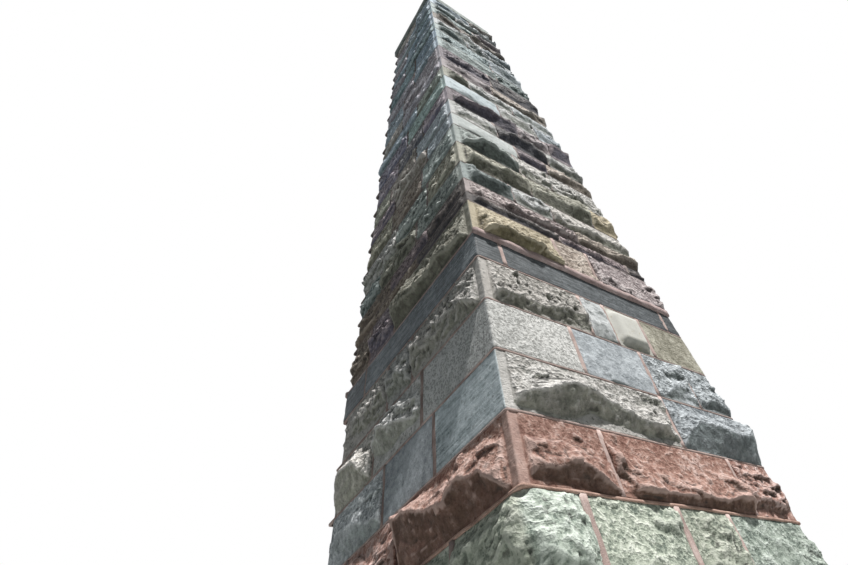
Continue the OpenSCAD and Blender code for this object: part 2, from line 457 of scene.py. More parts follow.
class MaterialBench(Bench):
    """Workbench for one material with a Principled shader."""

    def __init__(self, name: str) -> None:
        """Starts a material with only its shader, its output and its coordinates.

        Args:
            name: Name of the material.
        """
        self.material = bpy.data.materials.new(name)
        super().__init__(self.material, "ShaderNodeOutputMaterial")
        shader = self.node("ShaderNodeBsdfPrincipled")
        self.put(self.surface, shader)
        self.shader = shader.socket.node.inputs
        self.place = self.node("ShaderNodeTexCoord", output="Object")

    def dress(self, **values: object) -> bpy.types.Material:
        """Gives inputs of the shader their values.

        Args:
            values: Values or wires by the input's name, with an underscore for each blank.

        Returns:
            The material.
        """
        for name, value in values.items():
            self.put(self.shader[name.replace("_", " ")], value)
        return self.material

    def noise(self, size: float, detail: float = 4.0, roughness: float = 0.55, shift: float = 0.0,
              place: Wire | None = None) -> Wire:
        """Noise texture.

        Args:
            size: Size of the largest lumps in metres.
            detail: Number of finer layers.
            roughness: Weight of each finer layer.
            shift: Fourth coordinate, which picks another pattern.
            place: Coordinates, or None for the object's own.

        Returns:
            The noise, from 0 to 1.
        """
        return self.node("ShaderNodeTexNoise", {"noise_dimensions": "4D"}, {
            "Vector": place or self.place, "W": shift, "Scale": 1.0 / size, "Detail": detail,
            "Roughness": roughness})

    def cells(self, size: float) -> Wire:
        """Random colours in cells of about the given size in metres."""
        return self.node("ShaderNodeTexVoronoi", None, {"Vector": self.place, "Scale": 1.0 / size}, "Color")

    def struck(self, size: float) -> Wire:
        """Struck hollows: squared distance to the nearest of scattered points, on bent coordinates.

        Args:
            size: Distance between the points in metres.

        Returns:
            Depth of the hollows, with finer ones added.
        """
        bend = self.node("ShaderNodeTexNoise", None, {
            "Vector": self.place, "Scale": 0.7 / size, "Detail": 2.0}, "Color")
        bend = self.node("ShaderNodeVectorMath", {"operation": "SUBTRACT"}, {0: bend, 1: (0.5, 0.5, 0.5)})
        bent = self.node("ShaderNodeVectorMath", {"operation": "MULTIPLY_ADD"}, {
            0: bend, 1: (size, size, size), 2: self.place})
        near = [self.node("ShaderNodeTexVoronoi", None, {"Vector": bent, "Scale": k / size})
                for k in (1.0, 2.6)]
        return near[0] * near[0] + near[1] * near[1] * 0.6

    def squeezed(self, x: float, y: float, z: float, tilt: float = 0.0) -> Wire:
        """Object coordinates tilted by an angle about both level axes and scaled along each axis."""
        return self.node("ShaderNodeMapping", None, {
            "Vector": self.place, "Rotation": (tilt, tilt, 0.0), "Scale": (x, y, z)})

    def mark(self, name: str) -> Wire:
        """Number that the mesh carries at each vertex under this name."""
        return self.node("ShaderNodeAttribute", {"attribute_name": name}, None, "Fac")

    def tint(self, name: str) -> Wire:
        """Colour that the mesh carries at each vertex under this name."""
        return self.node("ShaderNodeAttribute", {"attribute_name": name}, None, "Color")

    def mix(self, share: Wire | float, a: "Wire | Colour", b: "Wire | Colour",
            blend: str = "MIX") -> Wire:
        """Blend of two colours.

        Args:
            share: Share of the second colour, from 0 to 1.
            a: First colour.
            b: Second colour.
            blend: Way of blending.

        Returns:
            The blended colour.
        """
        made = self.node("ShaderNodeMix", {"data_type": "RGBA", "blend_type": blend}, None, 2)
        inputs = made.socket.node.inputs
        for socket, value in ((inputs[0], share), (inputs[6], a), (inputs[7], b)):
            self.put(socket, value)
        return made

    def ramp(self, value: Wire, *stops: tuple[float, Colour]) -> Wire:
        """Colour ramp through the given stops."""
        return self.node("ShaderNodeValToRGB", {"stops": stops}, {0: value})

    def finish(self, colour: Wire, roughness: Wire, height: Wire, distance: float) -> bpy.types.Material:
        """Joins colour, roughness and relief to the shader.

        Args:
            colour: Base colour.
            roughness: Roughness.
            height: Relief from about 0 to 1.
            distance: Height of the relief in metres.

        Returns:
            The finished material.
        """
        normal = self.node("ShaderNodeBump", None, {"Height": height, "Distance": distance, "Strength": 1.0},
                           "Normal")
        return self.dress(Base_Color=colour, Roughness=roughness, Normal=normal, Specular_IOR_Level=0.25)


@dataclass(frozen=True)
class StoneFinish:
    """Colours and grain of one kind of stone. Lengths are in metres.

    The colours are five codes: pale, middle, deep, stain and speck. The stain colour, on
    faces that look down, is dirt together with painted shade.
    """

    colours: str
    speck_share: float = 0.15
    speck_size: float = 0.012
    cloud: float = 0.16
    grain: float = 0.006
    bands: float = 0.0
    band_size: float = 0.012
    band_stretch: float = 0.07
    tilt: float = 0.0
    chip_size: float = 0.03
    chip_middle: float = 0.45
    # How much struck hollows are darkened, and their rims paled, as painted shade and highlight.
    chip_painted_shade: float = 0.8
    # Share of the stain colour on faces that look down: dirt together with painted shade.
    stain_and_painted_shade_share: float = 0.5
    # Share of paleness on faces that look up: painted sunlight together with rain-washing.
    wash_and_painted_light: float = 0.4
    cloud_tone: float = 1.2
    patch_tone: float = 1.0
    grain_tone: float = 0.7
    patch_size: float = 0.045
    soil_size: float = 0.09
    peck_size: float = 0.006
    peck_stretch: float = 0.3
    speck_edge: float = 0.04
    speck_strength: float = 0.6
    strip_wash: float = 0.4
    # Share of painted highlight on crests of the relief.
    crest_painted_highlight: float = 0.55
    # Share and colour of painted shade in hollows of the relief.
    hollow_painted_shade: float = 0.7
    painted_shade_colour: Colour = (0.02, 0.02, 0.018)
    roughness: float = 0.85
    relief: float = 0.01

    def shades(self) -> list[Colour]:
        """The five colours."""
        return [srgb(code) for code in self.colours.split()]

    def build(self, name: str) -> bpy.types.Material:
        """Makes the material.

        Large clouds and fine grain together choose a place on a ramp from deep to pale, with
        struck hollows darker and their rims paler as painted shade and highlight, and each
        stone's tint multiplies it. Cells of random brightness give specks. Faces that look down
        take the stain colour, dirt together with painted shade, and faces that look up are
        paled, partly rain-washing and partly painted sunlight. Crests carry a painted highlight
        and hollows a painted shade. The relief is the sum of grain, struck hollows, bedding
        lines and the pecked dressing of the strips.

        Args:
            name: Name of the material.

        Returns:
            The material.
        """
        b = MaterialBench(name)
        pale, middle, deep, stain_and_painted_shade, dots = self.shades()
        fine = b.mark("fine")
        cloud = b.noise(self.cloud, detail=6.0, roughness=0.62)
        grain = b.noise(self.grain, detail=3.0, roughness=0.6, shift=3.1)
        patch = b.noise(self.patch_size, detail=5.0, roughness=0.65, shift=7.7)
        chips = b.struck(self.chip_size)
        tone = ((cloud - 0.5) * self.cloud_tone + (patch - 0.5) * self.patch_tone
                + (grain - 0.5) * self.grain_tone + 0.5)
        # Painted shade and highlight: struck hollows, which also sink the bump relief, are darker and their
        # rims paler.
        tone = tone + (chips - self.chip_middle) * fine * self.chip_painted_shade
        lines = None
        if self.bands > 0:
            along = b.squeezed(self.band_stretch, self.band_stretch, 1.0, self.tilt)
            lines = b.noise(self.band_size, roughness=0.6, shift=1.3, place=along)
            tone = tone + (lines - 0.5) * self.bands
        colour = b.ramp(tone, (0.08, deep), (0.5, middle), (0.92, pale))
        brightness = b.node("ShaderNodeSeparateColor", None, {0: b.cells(self.speck_size)})
        speck = 1.0 - brightness.step(self.speck_share, self.speck_share + self.speck_edge)
        colour = b.mix(speck * self.speck_strength, colour, dots)
        soil = b.noise(self.soil_size, detail=5.0, roughness=0.7, shift=11.0).step(0.3, 0.62)
        slope = b.mark("slope")
        # Dirt and painted shade: faces that look down are mixed towards the mottled stain colour.
        under = slope.step(0.04, 0.3) * (soil * 0.4 + 0.6) * self.stain_and_painted_shade_share
        # Painted sunlight and rain-washing: faces that look up are mixed towards the pale colour; flat strips
        # are paler by their dressing.
        washed_and_painted_light = (slope * -1.0).step(0.15, 1.0) * (1.0 - soil * 0.5) * self.wash_and_painted_light
        crest = b.mark("crest")
        strip = b.mark("strip")
        colour = b.mix(washed_and_painted_light.math("MAXIMUM", strip * self.strip_wash), colour, pale)
        mottled = b.mix(patch.step(0.36, 0.64), tuple(0.6 * v for v in stain_and_painted_shade), tuple(1.4 * v for v in stain_and_painted_shade))
        colour = b.mix(under, colour, mottled)
        # Painted highlight: crests that stand out of the relief are mixed towards the pale colour.
        colour = b.mix(crest.step(0.1, 0.9) * self.crest_painted_highlight, colour, pale)
        colour = b.mix(1.0, colour, b.tint("tint"), "MULTIPLY")
        # Painted shade: hollows sunk into the relief are mixed towards near black.
        shaded_hollow = (crest * -1.0).step(0.1, 0.9)
        colour = b.mix(shaded_hollow * self.hollow_painted_shade, colour, self.painted_shade_colour)
        height = grain * 0.4 + (chips + patch * 0.7) * fine
        if lines is not None:
            height = height + lines * min(0.8, self.bands)
        long = b.squeezed(self.peck_stretch, self.peck_stretch, 1.0)
        pecks = b.noise(self.peck_size, detail=3.0, roughness=0.6, shift=5.0, place=long)
        height = height + strip * pecks * 0.5
        rough = (grain - 0.5) * 0.2 + self.roughness
        return b.finish(colour, rough, height, self.relief)


@dataclass(frozen=True)
class MortarFinish:
    """Sandy mortar with darker patches."""

    name: str = "mortar"
    pale: str = "d8c7c1"
    mid: str = "b9a39c"
    deep: str = "7e6b67"
    patch_size: float = 0.07
    sand_size: float = 0.004
    relief: float = 0.0025

    def build(self) -> bpy.types.Material:
        """Makes the material: patches and sand grain on a ramp, with grain as relief.

        Returns:
            The material.
        """
        b = MaterialBench(self.name)
        patch = b.noise(self.patch_size, detail=5.0, roughness=0.6)
        sand = b.noise(self.sand_size, detail=2.0, roughness=0.6, shift=2.0)
        tone = (patch - 0.5) * 1.4 + (sand - 0.5) * 0.7 + 0.5
        colour = b.ramp(tone, (0.1, srgb(self.deep)), (0.5, srgb(self.mid)), (0.9, srgb(self.pale)))
        colour = b.mix(1.0, colour, b.tint("tint"), "MULTIPLY")
        rough = (sand - 0.5) * 0.15 + 0.9
        return b.finish(colour, rough, sand + patch * 0.5, self.relief)


FINISHES: dict[Rock, StoneFinish] = {
    Rock.MINT: StoneFinish("d3d8cd adb5a7 69736a 7a8478 59655d", cloud=0.1, speck_share=0.08, relief=0.006),
    Rock.RED: StoneFinish("cbb2aa 9e7c70 603b31 43342a 5c3b30", speck_share=0.07, cloud=0.2, bands=0.2,
                          chip_painted_shade=0.5, stain_and_painted_shade_share=0.88, relief=0.005),
    Rock.WHITE: StoneFinish("dcdad7 bab7b3 74756f 84867a 5d615d", speck_share=0.07, cloud=0.12,
                            stain_and_painted_shade_share=0.85),
    Rock.BLUE: StoneFinish("e2e6e8 b1b5b8 70767a 7c8482 8a9092", speck_share=0.012, cloud=0.3,
                           stain_and_painted_shade_share=0.85),
    Rock.STREAKED: StoneFinish("f2f7f8 c6cfd1 727c7e 6b736f 8a9092", speck_share=0.01, cloud=0.4,
                               bands=1.3, band_size=0.014, tilt=0.12, relief=0.003),
    Rock.GRANITE: StoneFinish("dedddb c8c8c6 9d9e9c 8d8c84 70706c", speck_share=0.34, speck_size=0.009,
                              cloud=0.5, relief=0.011),
    Rock.MOTTLED: StoneFinish("d6dadc acb0b2 5c6162 6a706c 565b5a", speck_share=0.12, speck_size=0.03,
                              cloud=0.08, stain_and_painted_shade_share=0.8),
    Rock.SLATE: StoneFinish("8e9498 62686c 34393d 33383a 33393b", speck_share=0.05, cloud=0.3, bands=2.0,
                            band_size=0.009, roughness=0.7, relief=0.004),
    Rock.YELLOW: StoneFinish("e8dabf c0b196 83765d 6c6449 6e5f45", speck_share=0.06, cloud=0.14,
                             bands=0.25, stain_and_painted_shade_share=0.85),
    Rock.BUFF: StoneFinish("d2c7bc ab9d92 70655b 6b6357 5f5449", speck_share=0.05, stain_and_painted_shade_share=0.8),
    Rock.PINK: StoneFinish("cabfbd a29594 665b5b 665b5a 564b49", speck_share=0.08, stain_and_painted_shade_share=0.75),
    Rock.PURPLE: StoneFinish("a99c9e 786d70 453e41 565460 3a3233", speck_share=0.05, bands=0.5,
                             stain_and_painted_shade_share=0.85),
    Rock.BLACK: StoneFinish("807976 524e4e 2e2c2c 3c3c42 201e1d", speck_share=0.05, bands=0.5,
                            stain_and_painted_shade_share=0.8),
    Rock.OLIVE: StoneFinish("c3c0b1 928e81 585646 5c5c50 4a4838", speck_share=0.06, bands=0.4,
                            stain_and_painted_shade_share=0.85),
    Rock.MARBLE: StoneFinish("e4e8e7 d0d6d4 a8aeab 848a82 9aa096", speck_share=0.03, cloud=0.35,
                             relief=0.005),
    Rock.GREEN: StoneFinish("c6cdc9 939b97 555c5a 59605b 434a47", speck_share=0.07, stain_and_painted_shade_share=0.85),
    Rock.CREAM: StoneFinish("dcd9d0 c8c5bc aeaba2 85836f b4aa8c", speck_share=0.03, cloud=0.4,
                            relief=0.003),
    Rock.BROWN: StoneFinish("b0a59a 80766d 4c4540 544b43 3d362f", speck_share=0.05, bands=0.3,
                            stain_and_painted_shade_share=0.8),
}
ROCK_INDEX: dict[Rock, int] = {rock: k for k, rock in enumerate(Rock)}


def grid_quads(columns: int, rows: int, closed: bool = False, ring: bool = False) -> Grid:
    """Corners of the quads of a grid whose point number is column * rows + row.

    Args:
        columns: Number of columns.
        rows: Number of rows.
        closed: Whether the last column joins the first.
        ring: Whether the last row joins the first.

    Returns:
        Array of four corners for each quad, turned to face outwards.
    """
    c, r = np.meshgrid(np.arange(columns - (not closed)), np.arange(rows - (not ring)), indexing="ij")
    after, beside = (c + 1) % columns * rows, (r + 1) % rows
    return np.stack([c * rows + r, after + r, after + beside, c * rows + beside], axis=-1).reshape(-1, 4)


def linked(name: str, data: bpy.types.ID) -> bpy.types.Object:
    """Makes an object and links it to the scene.

    Args:
        name: Name of the object.
        data: Its mesh, camera or lamp.

    Returns:
        The object.
    """
    made = bpy.data.objects.new(name, data)
    bpy.context.scene.collection.objects.link(made)
    return made


@dataclass
class Shell:
    """Closed surfaces as arrays: points, faces of any number of corners, and marks."""

    points: Grid
    corners: Grid
    sizes: Grid
    smooth: Grid
    rock: Grid
    marks: dict[str, Grid] = field(default_factory=dict)

    @classmethod
    def joined(cls, shells: list["Shell"]) -> "Shell":
        """All shells as one, each face still pointing at its own corners.

        Args:
            shells: Shells with the same marks.

        Returns:
            The joined shell.
        """
        starts = np.cumsum([0] + [len(s.points) for s in shells[:-1]])
        points, sizes, smooth, rock = (np.concatenate([getattr(s, name) for s in shells])
                                       for name in ("points", "sizes", "smooth", "rock"))
        return cls(points, np.concatenate([s.corners + start for s, start in zip(shells, starts)]),
                   sizes, smooth, rock,
                   {key: np.concatenate([s.marks[key] for s in shells]) for key in shells[0].marks})

    @classmethod
    def swept(cls, points: Grid, closed: bool, rock: int = 0, **marks: "float | Colour") -> "Shell":
        """Profile carried along a path.

        Point number is ring * profile size + place in the profile, and every ring is closed. An
        open sweep gets a flat cap at both ends.

        Args:
            points: Points as rings by profile by three.
            closed: Whether the last ring joins the first.
            rock: Number of the material.
            marks: One value of each mark for all points.

        Returns:
            The closed surface.
        """
        rings, size = points.shape[:2]
        quads = grid_quads(rings, size, closed, True)
        corners, sizes = quads.ravel(), np.full(len(quads), 4)
        if not closed:
            first = np.arange(size)
            corners = np.concatenate([corners, first, (rings - 1) * size + first[::-1]])
            sizes = np.concatenate([sizes, [size, size]])
        spread_out = {key: np.tile(value, (rings * size, 1)).squeeze() for key, value in marks.items()}
        return cls(points.reshape(-1, 3), corners, sizes, sizes == 4, np.full(len(sizes), rock), spread_out)

    @classmethod
    def block(cls, sheet: dict[str, Grid], backs: list[tuple[float, float]], heights: Grid,
              crest: float = 0.004) -> "Shell":
        """Closes the grid of a worked face into a block.

        The flat top, the bottom, both ends and, on a stone between corners, the back are one
        face each. Slope is the gradient of the calmed relief over the height, and crest is
        how far the relief stands out from the same relief blurred, faded in by a smooth step
        of the relief from one crest to three.

        Args:
            sheet: Points, relief, kind and marks of the face, as columns by rows.
            backs: Inner corners in plan, from the right end of the face to its left end.
            heights: Height of each row.
            crest: Height of a full crest in metres.

        Returns:
            The closed block.
        """
        relief, kinds = sheet["relief"], sheet["kind"]
        columns, rows = relief.shape
        count = columns * rows
        inner = np.array([[x, y, z] for x, y in backs for z in heights[[0, -1]]])
        bottoms = count + 2 * np.arange(len(backs))
        tops = bottoms + 1
        row = np.arange(columns) * rows
        first, last = np.arange(rows), (columns - 1) * rows + np.arange(rows)
        faces = [
            np.concatenate([row + rows - 1, tops]),
            np.concatenate([row, bottoms])[::-1],
            np.concatenate([first, [tops[-1], bottoms[-1]]]),
            np.concatenate([last, [tops[0], bottoms[0]]])[::-1]]
        if len(backs) == 2:
            faces.append(np.array([bottoms[0], bottoms[1], tops[1], tops[0]]))
        quads = grid_quads(columns, rows)
        slope = np.gradient(Noise.blurred(relief, 2), heights, axis=1)
        raised = (relief - Noise.blurred(relief, 5)) / crest * rise(relief, crest, 3 * crest)
        marks = {"slope": np.clip(slope, -2, 2), "crest": np.clip(raised, -1, 1),
                 **{key: sheet[key] for key in ("fine", "strip", "tint")}}
        marks = {key: value.reshape(count, -1) for key, value in marks.items()}
        marks = {key: np.concatenate([value, value[:len(inner)]]).squeeze() for key, value in marks.items()}
        return cls(
            np.concatenate([sheet["points"].reshape(-1, 3), inner]),
            np.concatenate([quads.ravel(), *faces]),
            np.concatenate([np.full(len(quads), 4), [len(f) for f in faces]]),
            np.concatenate([np.ones(len(quads), bool), np.zeros(len(faces), bool)]),
            np.concatenate([np.repeat(kinds[:-1], rows - 1), np.full(len(faces), kinds[-1])]), marks)

    def piece(self, name: str, materials: list[bpy.types.Material]) -> bpy.types.Object:
        """Turns the shell into an object at the origin.

        Args:
            name: Name of the piece.
            materials: Materials, in the order of the numbers in rock.

        Returns:
            The object, linked to the scene.
        """
        mesh = bpy.data.meshes.new(name)
        mesh.vertices.add(len(self.points))
        mesh.vertices.foreach_set("co", self.points.astype(np.float32).ravel())
        mesh.loops.add(len(self.corners))
        mesh.loops.foreach_set("vertex_index", self.corners.astype(np.int32))
        mesh.polygons.add(len(self.sizes))
        starts = np.concatenate([[0], np.cumsum(self.sizes)[:-1]])
        mesh.polygons.foreach_set("loop_start", starts.astype(np.int32))
        mesh.polygons.foreach_set("use_smooth", self.smooth)
        used, index = np.unique(self.rock, return_inverse=True)
        for k in used:
            mesh.materials.append(materials[k])
        mesh.polygons.foreach_set("material_index", index.astype(np.int32))
        for key, values in self.marks.items():
            if values.ndim == 1:
                mesh.attributes.new(key, "FLOAT", "POINT").data.foreach_set(
                    "value", values.astype(np.float32))
            else:
                full = np.column_stack([values, np.ones(len(values))])
                mesh.attributes.new(key, "FLOAT_COLOR", "POINT").data.foreach_set(
                    "color", full.astype(np.float32).ravel())
        mesh.update(calc_edges=True)
        mesh.validate()
        return linked(name, mesh)


def spread(length: float, pitch: float, edge: float = 0.004) -> Grid:
    """Places from 0 to length: close together beside both ends, even between them.

    Args:
        length: Length to divide.
        pitch: Distance between the even places.
        edge: Distance of the next place from each end. The one after lies 2.5 times as far.

    Returns:
        Rising array of places.
    """
    near = np.array([0.0, edge, edge * 2.5])
    count = max(2, round((length - 2 * near[-1]) / pitch) + 1)
    middle = np.linspace(near[-1], length - near[-1], count)
    return np.concatenate([near[:-1], middle, (length - near[:-1])[::-1]])


@dataclass
class Patch:
    """The face of one stone on one side: how long and high it is and how it is worked."""

    length: float
    height: float
    work: Work
    seed: int
    out: Ridge
    ridge: Ridge = None
    draft_left: float = 0.0
    draft_right: float = 0.0
    open_left: bool = False
    open_right: bool = False
    strip_fine: float = 0.15
    strip_tooling: Wave = Wave(0.0012, 0.02)
    slate_line: Wave = Wave(0.0022, 0.016)
    slate_stretch: float = 14.0
    ragged: Wave = Wave(0.45, 0.06)
    bend: Wave = Wave(0.02, 0.12, 2)
    crest_stray: Wave = Wave(0.2, 0.3, 2)
    foot_stray: Wave = Wave(0.6, 0.14, 2)
    ledge_bend: Wave = Wave(0.04, 0.22, 4)
    ledge_stray: Wave = Wave(0.9, 0.15, 2)
    ledge_under: float = 0.2
    ledge_sink: float = 0.4
    ledge_share: float = 0.6
    drawn_wander: float = 0.4
    ridge_span: tuple[float, float] = (0.04, 0.92)
    beyond: float = 1.4
    step_skew: tuple[float, float] = (0.6, 0.5)
    meet: tuple[float, float] = (-0.006, 0.002)
    under_fine: float = 0.4
    panel_margin: float = 0.028
    panel_bevel: float = 0.032
    panel_out: float = 0.034

    def relief(self, a: Grid, z: Grid) -> tuple[Grid, Grid]:
        """How far the face stands out from the batter plane, and how rough it is.

        A rock face is the lower of two slopes that meet in a wandering ridge, roughened by
        scoops, chips and grain that are calmer under the ridge, and cut by a slope that rises
        from every edge but an open one. Flat strips beside an arris stay flat.

        Args:
            a: Distance from the left end.
            z: Height over the bottom.

        Returns:
            Distances in metres, and roughness from 0 to 1.
        """
        form = FORMS[self.work]
        s = self.seed
        shift = 3.7 * s
        left = a - self.draft_left + (1.0 if self.open_left else 0.0)
        right = self.length - self.draft_right - a + (1.0 if self.open_right else 0.0)
        side = np.minimum(left, right)
        fine = form.fine + 0 * a
        grain = Wave(form.grain, form.grain_size)
        if self.work is Work.SLATE:
            lines = self.slate_line.at(a / self.slate_stretch + shift, z, s)
            face = form.out + lines + grain.at(a + shift, z, s + 5)
        elif self.work in (Work.SAWN, Work.PANEL):
            face = form.out + grain.at(a + shift, z, s)
            if self.work is Work.PANEL:
                inside = np.minimum(np.minimum(a, self.length - a), np.minimum(z, self.height - z))
                face = face + self.panel_out * np.clip((inside - self.panel_margin) / self.panel_bevel, 0, 1)
        else:
            share = (a - self.draft_left) / (self.length - self.draft_left - self.draft_right)
            face, fine = self.rough(form, a + shift, z, np.clip(share, 0, 1), s)
        ragged = 1 + self.ragged.at(a + shift, z, s + 7)
        edge = np.minimum(side * form.edge_slope * ragged, z * form.edge_slope)
        edge = np.minimum(edge, (self.height - z) * form.top_slope * ragged)
        cut = np.minimum(np.maximum(face, form.least), np.maximum(edge, 0.0))
        strip = self.strip_tooling.at(a + shift, z * 2, s + 9)
        return np.where(side > 0, cut, strip), np.where(side > 0, fine, self.strip_fine)

    def along(self, values: Ridge, share: Grid) -> Grid:
        """A number, or a row of numbers spaced evenly along the stone and joined by straight lines."""
        row_of = values if isinstance(values, tuple) else (values, values)
        return np.interp(share, np.linspace(0, 1, len(row_of)), row_of)

    def ridge_line(self, form: FaceForm, a: Grid, share: Grid, s: int) -> Grid:
        """Height of the ridge along the stone, as a share of the stone's height.

        The line wanders by value noise, less so where it is drawn by a row of heights, and
        keeps off the bottom and the top.

        Args:
            form: Measures of the face.
            a: Distance along the face, shifted by the seed.
            share: Distance along the rough part of the face, from 0 to 1.
            s: Seed.

        Returns:
            Heights within the span.
        """
        middle = self.along(form.ridge if self.ridge is None else self.ridge, share)
        wander = Wave(form.wander, form.wander_size, 2).at(a, 0.0, s)
        part = self.drawn_wander if isinstance(self.ridge, tuple) else 1.0
        return np.clip(middle + part * wander, *self.ridge_span)

    def rough(self, form: FaceForm, a: Grid, z: Grid, share: Grid, s: int) -> tuple[Grid, Grid]:
        """Relief and roughness of a rough face before its edges are cut.

        The face is the lower of two surfaces. The underside rises by a curve from a foot near
        the bottom and passes the crest at the ridge. The upper slope falls by a curve from the
        crest to the top and is bitten and roughened, so the line where they meet is jagged.
        Ledges are a saw of steep undersides and long slopes. The material's roughness is
        less on the underside.

        Args:
            form: Measures of the face.
            a: Distance along the face, shifted by the seed.
            z: Height over the bottom.
            share: Distance along the rough part of the face, from 0 to 1.
            s: Seed.

        Returns:
            Distances in metres, and roughness from 0 to 1.
        """
        ridge = self.ridge_line(form, a, share, s)
        crest = self.along(self.out, share) * (1.0 + self.crest_stray.at(a, 0.0, s + 2))
        t = z / self.height
        foot = form.foot * ridge * (1 + self.foot_stray.at(a, 0.0, s + 4))
        under = crest * np.clip((t - foot) / (ridge - foot), 0, self.beyond) ** form.under_curve
        over = crest * np.clip((1 - t) / (1 - ridge), 0, self.beyond) ** form.over_curve
        bent = z + self.bend.at(a, z, s + 15)
        long = a / form.stretch + self.bend.at(a, z, s + 17)
        rough = form.scoop * Noise.scoops(long, bent, form.scoop_size, form.scoop_tilt, s + 20)
        rough = rough + form.chip * Noise.scoops(long, bent, form.chip_size, form.chip_tilt, s + 40)
        rough = rough + Wave(form.grain, form.grain_size).at(a, z, s + 60)
        if form.step > 0:
            along, up = self.step_skew
            rough = rough + form.step * Noise.steps(along * long + up * bent, bent, form.step_size, s + 70)
        if form.ledge > 0:
            level = (z + self.ledge_bend.at(a, z, s + 80)) / form.ledge_pitch
            part = level - np.floor(level)
            saw = rise(part, 0.0, self.ledge_under) * (1 - part) - self.ledge_sink
            worn = self.ledge_share + self.ledge_stray.at(a, z, s + 90)
            rough = rough + form.ledge * saw * np.clip(worn, 0, 2 * self.ledge_share)
        bites = form.bite * Noise.scoops(long, bent, form.bite_size, form.bite_tilt, s + 10)
        over = over * (1 + bites) + rough
        under = under + form.calm * rough
        upper = rise(under - over, *self.meet)
        return np.minimum(under, over), form.fine * (self.under_fine + (1 - self.under_fine) * upper)


@dataclass
class Shaft:
    """The leaning shaft: its batter, its courses and the upright joints of each."""

    base_w: float = 2.21
    taper: float = 0.079
    joint_w: float = 0.014
    seam_w: float = 0.009
    bed_depth: float = 0.26
    boulder_last: int = 6
    draft_w: float = 0.046
    joint_stray: float = 0.12
    pair_sway: float = 0.24
    row_sway: float = 0.17
    low_last: int = 10
    mid_last: int = 20
    stones_low: int = 4
    stones_mid: int = 3
    stones_top: int = 2
    arris_round: float = 0.006
    boulder_round: float = 0.06
    rough_round: tuple[float, float] = (0.02, 0.1)
    panelled: tuple[int, int, int] = (10, 0, 2)
    set_joints: dict[tuple[int, int], tuple[float, ...]] = field(default_factory=lambda: {
        (6, 0): (0.153, 0.443, 0.64), (6, 3): (0.22, 0.48, 0.755),
        (7, 0): (0.27, 0.795), (7, 3): (0.2, 0.52),
        (8, 0): (0.61,), (8, 3): (0.41, 0.7),
        (9, 0): (0.305, 0.618, 0.835), (9, 3): (0.32, 0.64),
        (10, 0): (0.415, 0.535, 0.725), (10, 3): (0.4, 0.58),
        (11, 0): (0.1, 0.93), (11, 3): (0.19,),
        (12, 0): (0.41, 0.6), (12, 3): (0.2, 0.43),
        (13, 0): (0.46, 0.89), (13, 3): (0.25, 0.62),
        (14, 0): (0.6,), (15, 0): (0.26, 0.49), (16, 0): (0.4, 0.82),
        (17, 0): (0.38, 0.61), (17, 3): (0.34, 0.67),
        (18, 0): (0.43, 0.65), (18, 3): (0.36, 0.74),
        (19, 0): (0.316, 0.71), (20, 0): (0.53, 0.8),
        (21, 0): (0.43, 0.76), (21, 3): (0.49,),
        (22, 0): (0.2, 0.6), (23, 0): (0.45,), (24, 0): (0.49,), (24, 3): (0.4,),
        (25, 0): (0.62,), (25, 3): (0.58,)})

    def __post_init__(self) -> None:
        """Takes the height of the footing and of every course from the frame."""
        self.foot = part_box("footing")[1].z
        boxes = [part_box(f"course_{i:02d}") for i in range(1, COURSES + 1)]
        self.bottoms = [low.z for low, _ in boxes]
        self.tops = [high.z for _, high in boxes]

    def half(self, z: "float | Grid") -> "float | Grid":
        """Half of the shaft's width at a height."""
        return self.base_w / 2 - self.taper * (z - self.foot)

    def shares(self, course: int, side: int) -> tuple[float, ...]:
        """Upright joints of a course on a side, as shares of the width from its left end.

        Args:
            course: Number of the course, from 1.
            side: Number of the side, 0 to 3.

        Returns:
            Rising shares.
        """
        known = self.set_joints.get((course, 0 if side % 2 == 0 else 3))
        if known:
            return known
        count = (self.stones_low if course <= self.low_last else
                 self.stones_mid if course <= self.mid_last else self.stones_top)
        sway = (1 if course % 2 == 0 else -1) * (self.pair_sway if count == 2 else self.row_sway)
        return tuple((j + sway + self.joint_stray * (chance(course * 4 + side, j) - 0.5)) / count
                     for j in range(1, count))

    def joint_places(self, course: int, side: int) -> list[float]:
        """Centres of the upright joints of a course, from the middle of the side."""
        a = self.half(self.tops[course - 1])
        return [(2 * share - 1) * a for share in self.shares(course, side)]


@dataclass(frozen=True)
class Face:
    """One stone of a row as it shows on its side: kind, working, and what sets it apart.

    Out is the relief of its ridge in metres, ridge the height of the ridge as a share of the
    stone's height, each a number or a row of numbers from the stone's left end to its right
    end, and light a factor on its colour.
    """

    rock: Rock
    work: Work = Work.RUGGED
    out: Ridge = None
    ridge: Ridge = None
    light: float = 1.0

    def mirrored(self) -> "Face":
        """The same face with its rows from right to left."""
        out, ridge = (v[::-1] if isinstance(v, tuple) else v for v in (self.out, self.ridge))
        return replace(self, out=out, ridge=ridge)


@dataclass(frozen=True)
class CourseLook:
    """The stones of a course, each row from the left end of its side to the right end.

    The front row also serves the back, and the left row the right side. A row that is
    shorter than its course starts again.
    """

    front: tuple[Face, ...]
    left: tuple[Face, ...]
    pitch: float = 0.013


def row(*faces: "Face | Rock", work: Work = Work.RUGGED) -> tuple[Face, ...]:
    """Row of faces, where a bare kind of stone gets the row's working."""
    return tuple(f if isinstance(f, Face) else Face(f, work) for f in faces)


def boulders(front: tuple[Rock, ...], left: tuple[Rock, ...]) -> CourseLook:
    """Course of boulders of the given kinds."""
    return CourseLook(row(*front, work=Work.BOULDER), row(*left, work=Work.BOULDER), 0.018)


def mixed(front: "tuple[Face | Rock, ...]", left: "tuple[Face | Rock, ...]",
          work: Work = Work.BEDDED) -> CourseLook:
    """Course with a rugged front and a working of its own on the left."""
    return CourseLook(row(*front), row(*left, work=work))


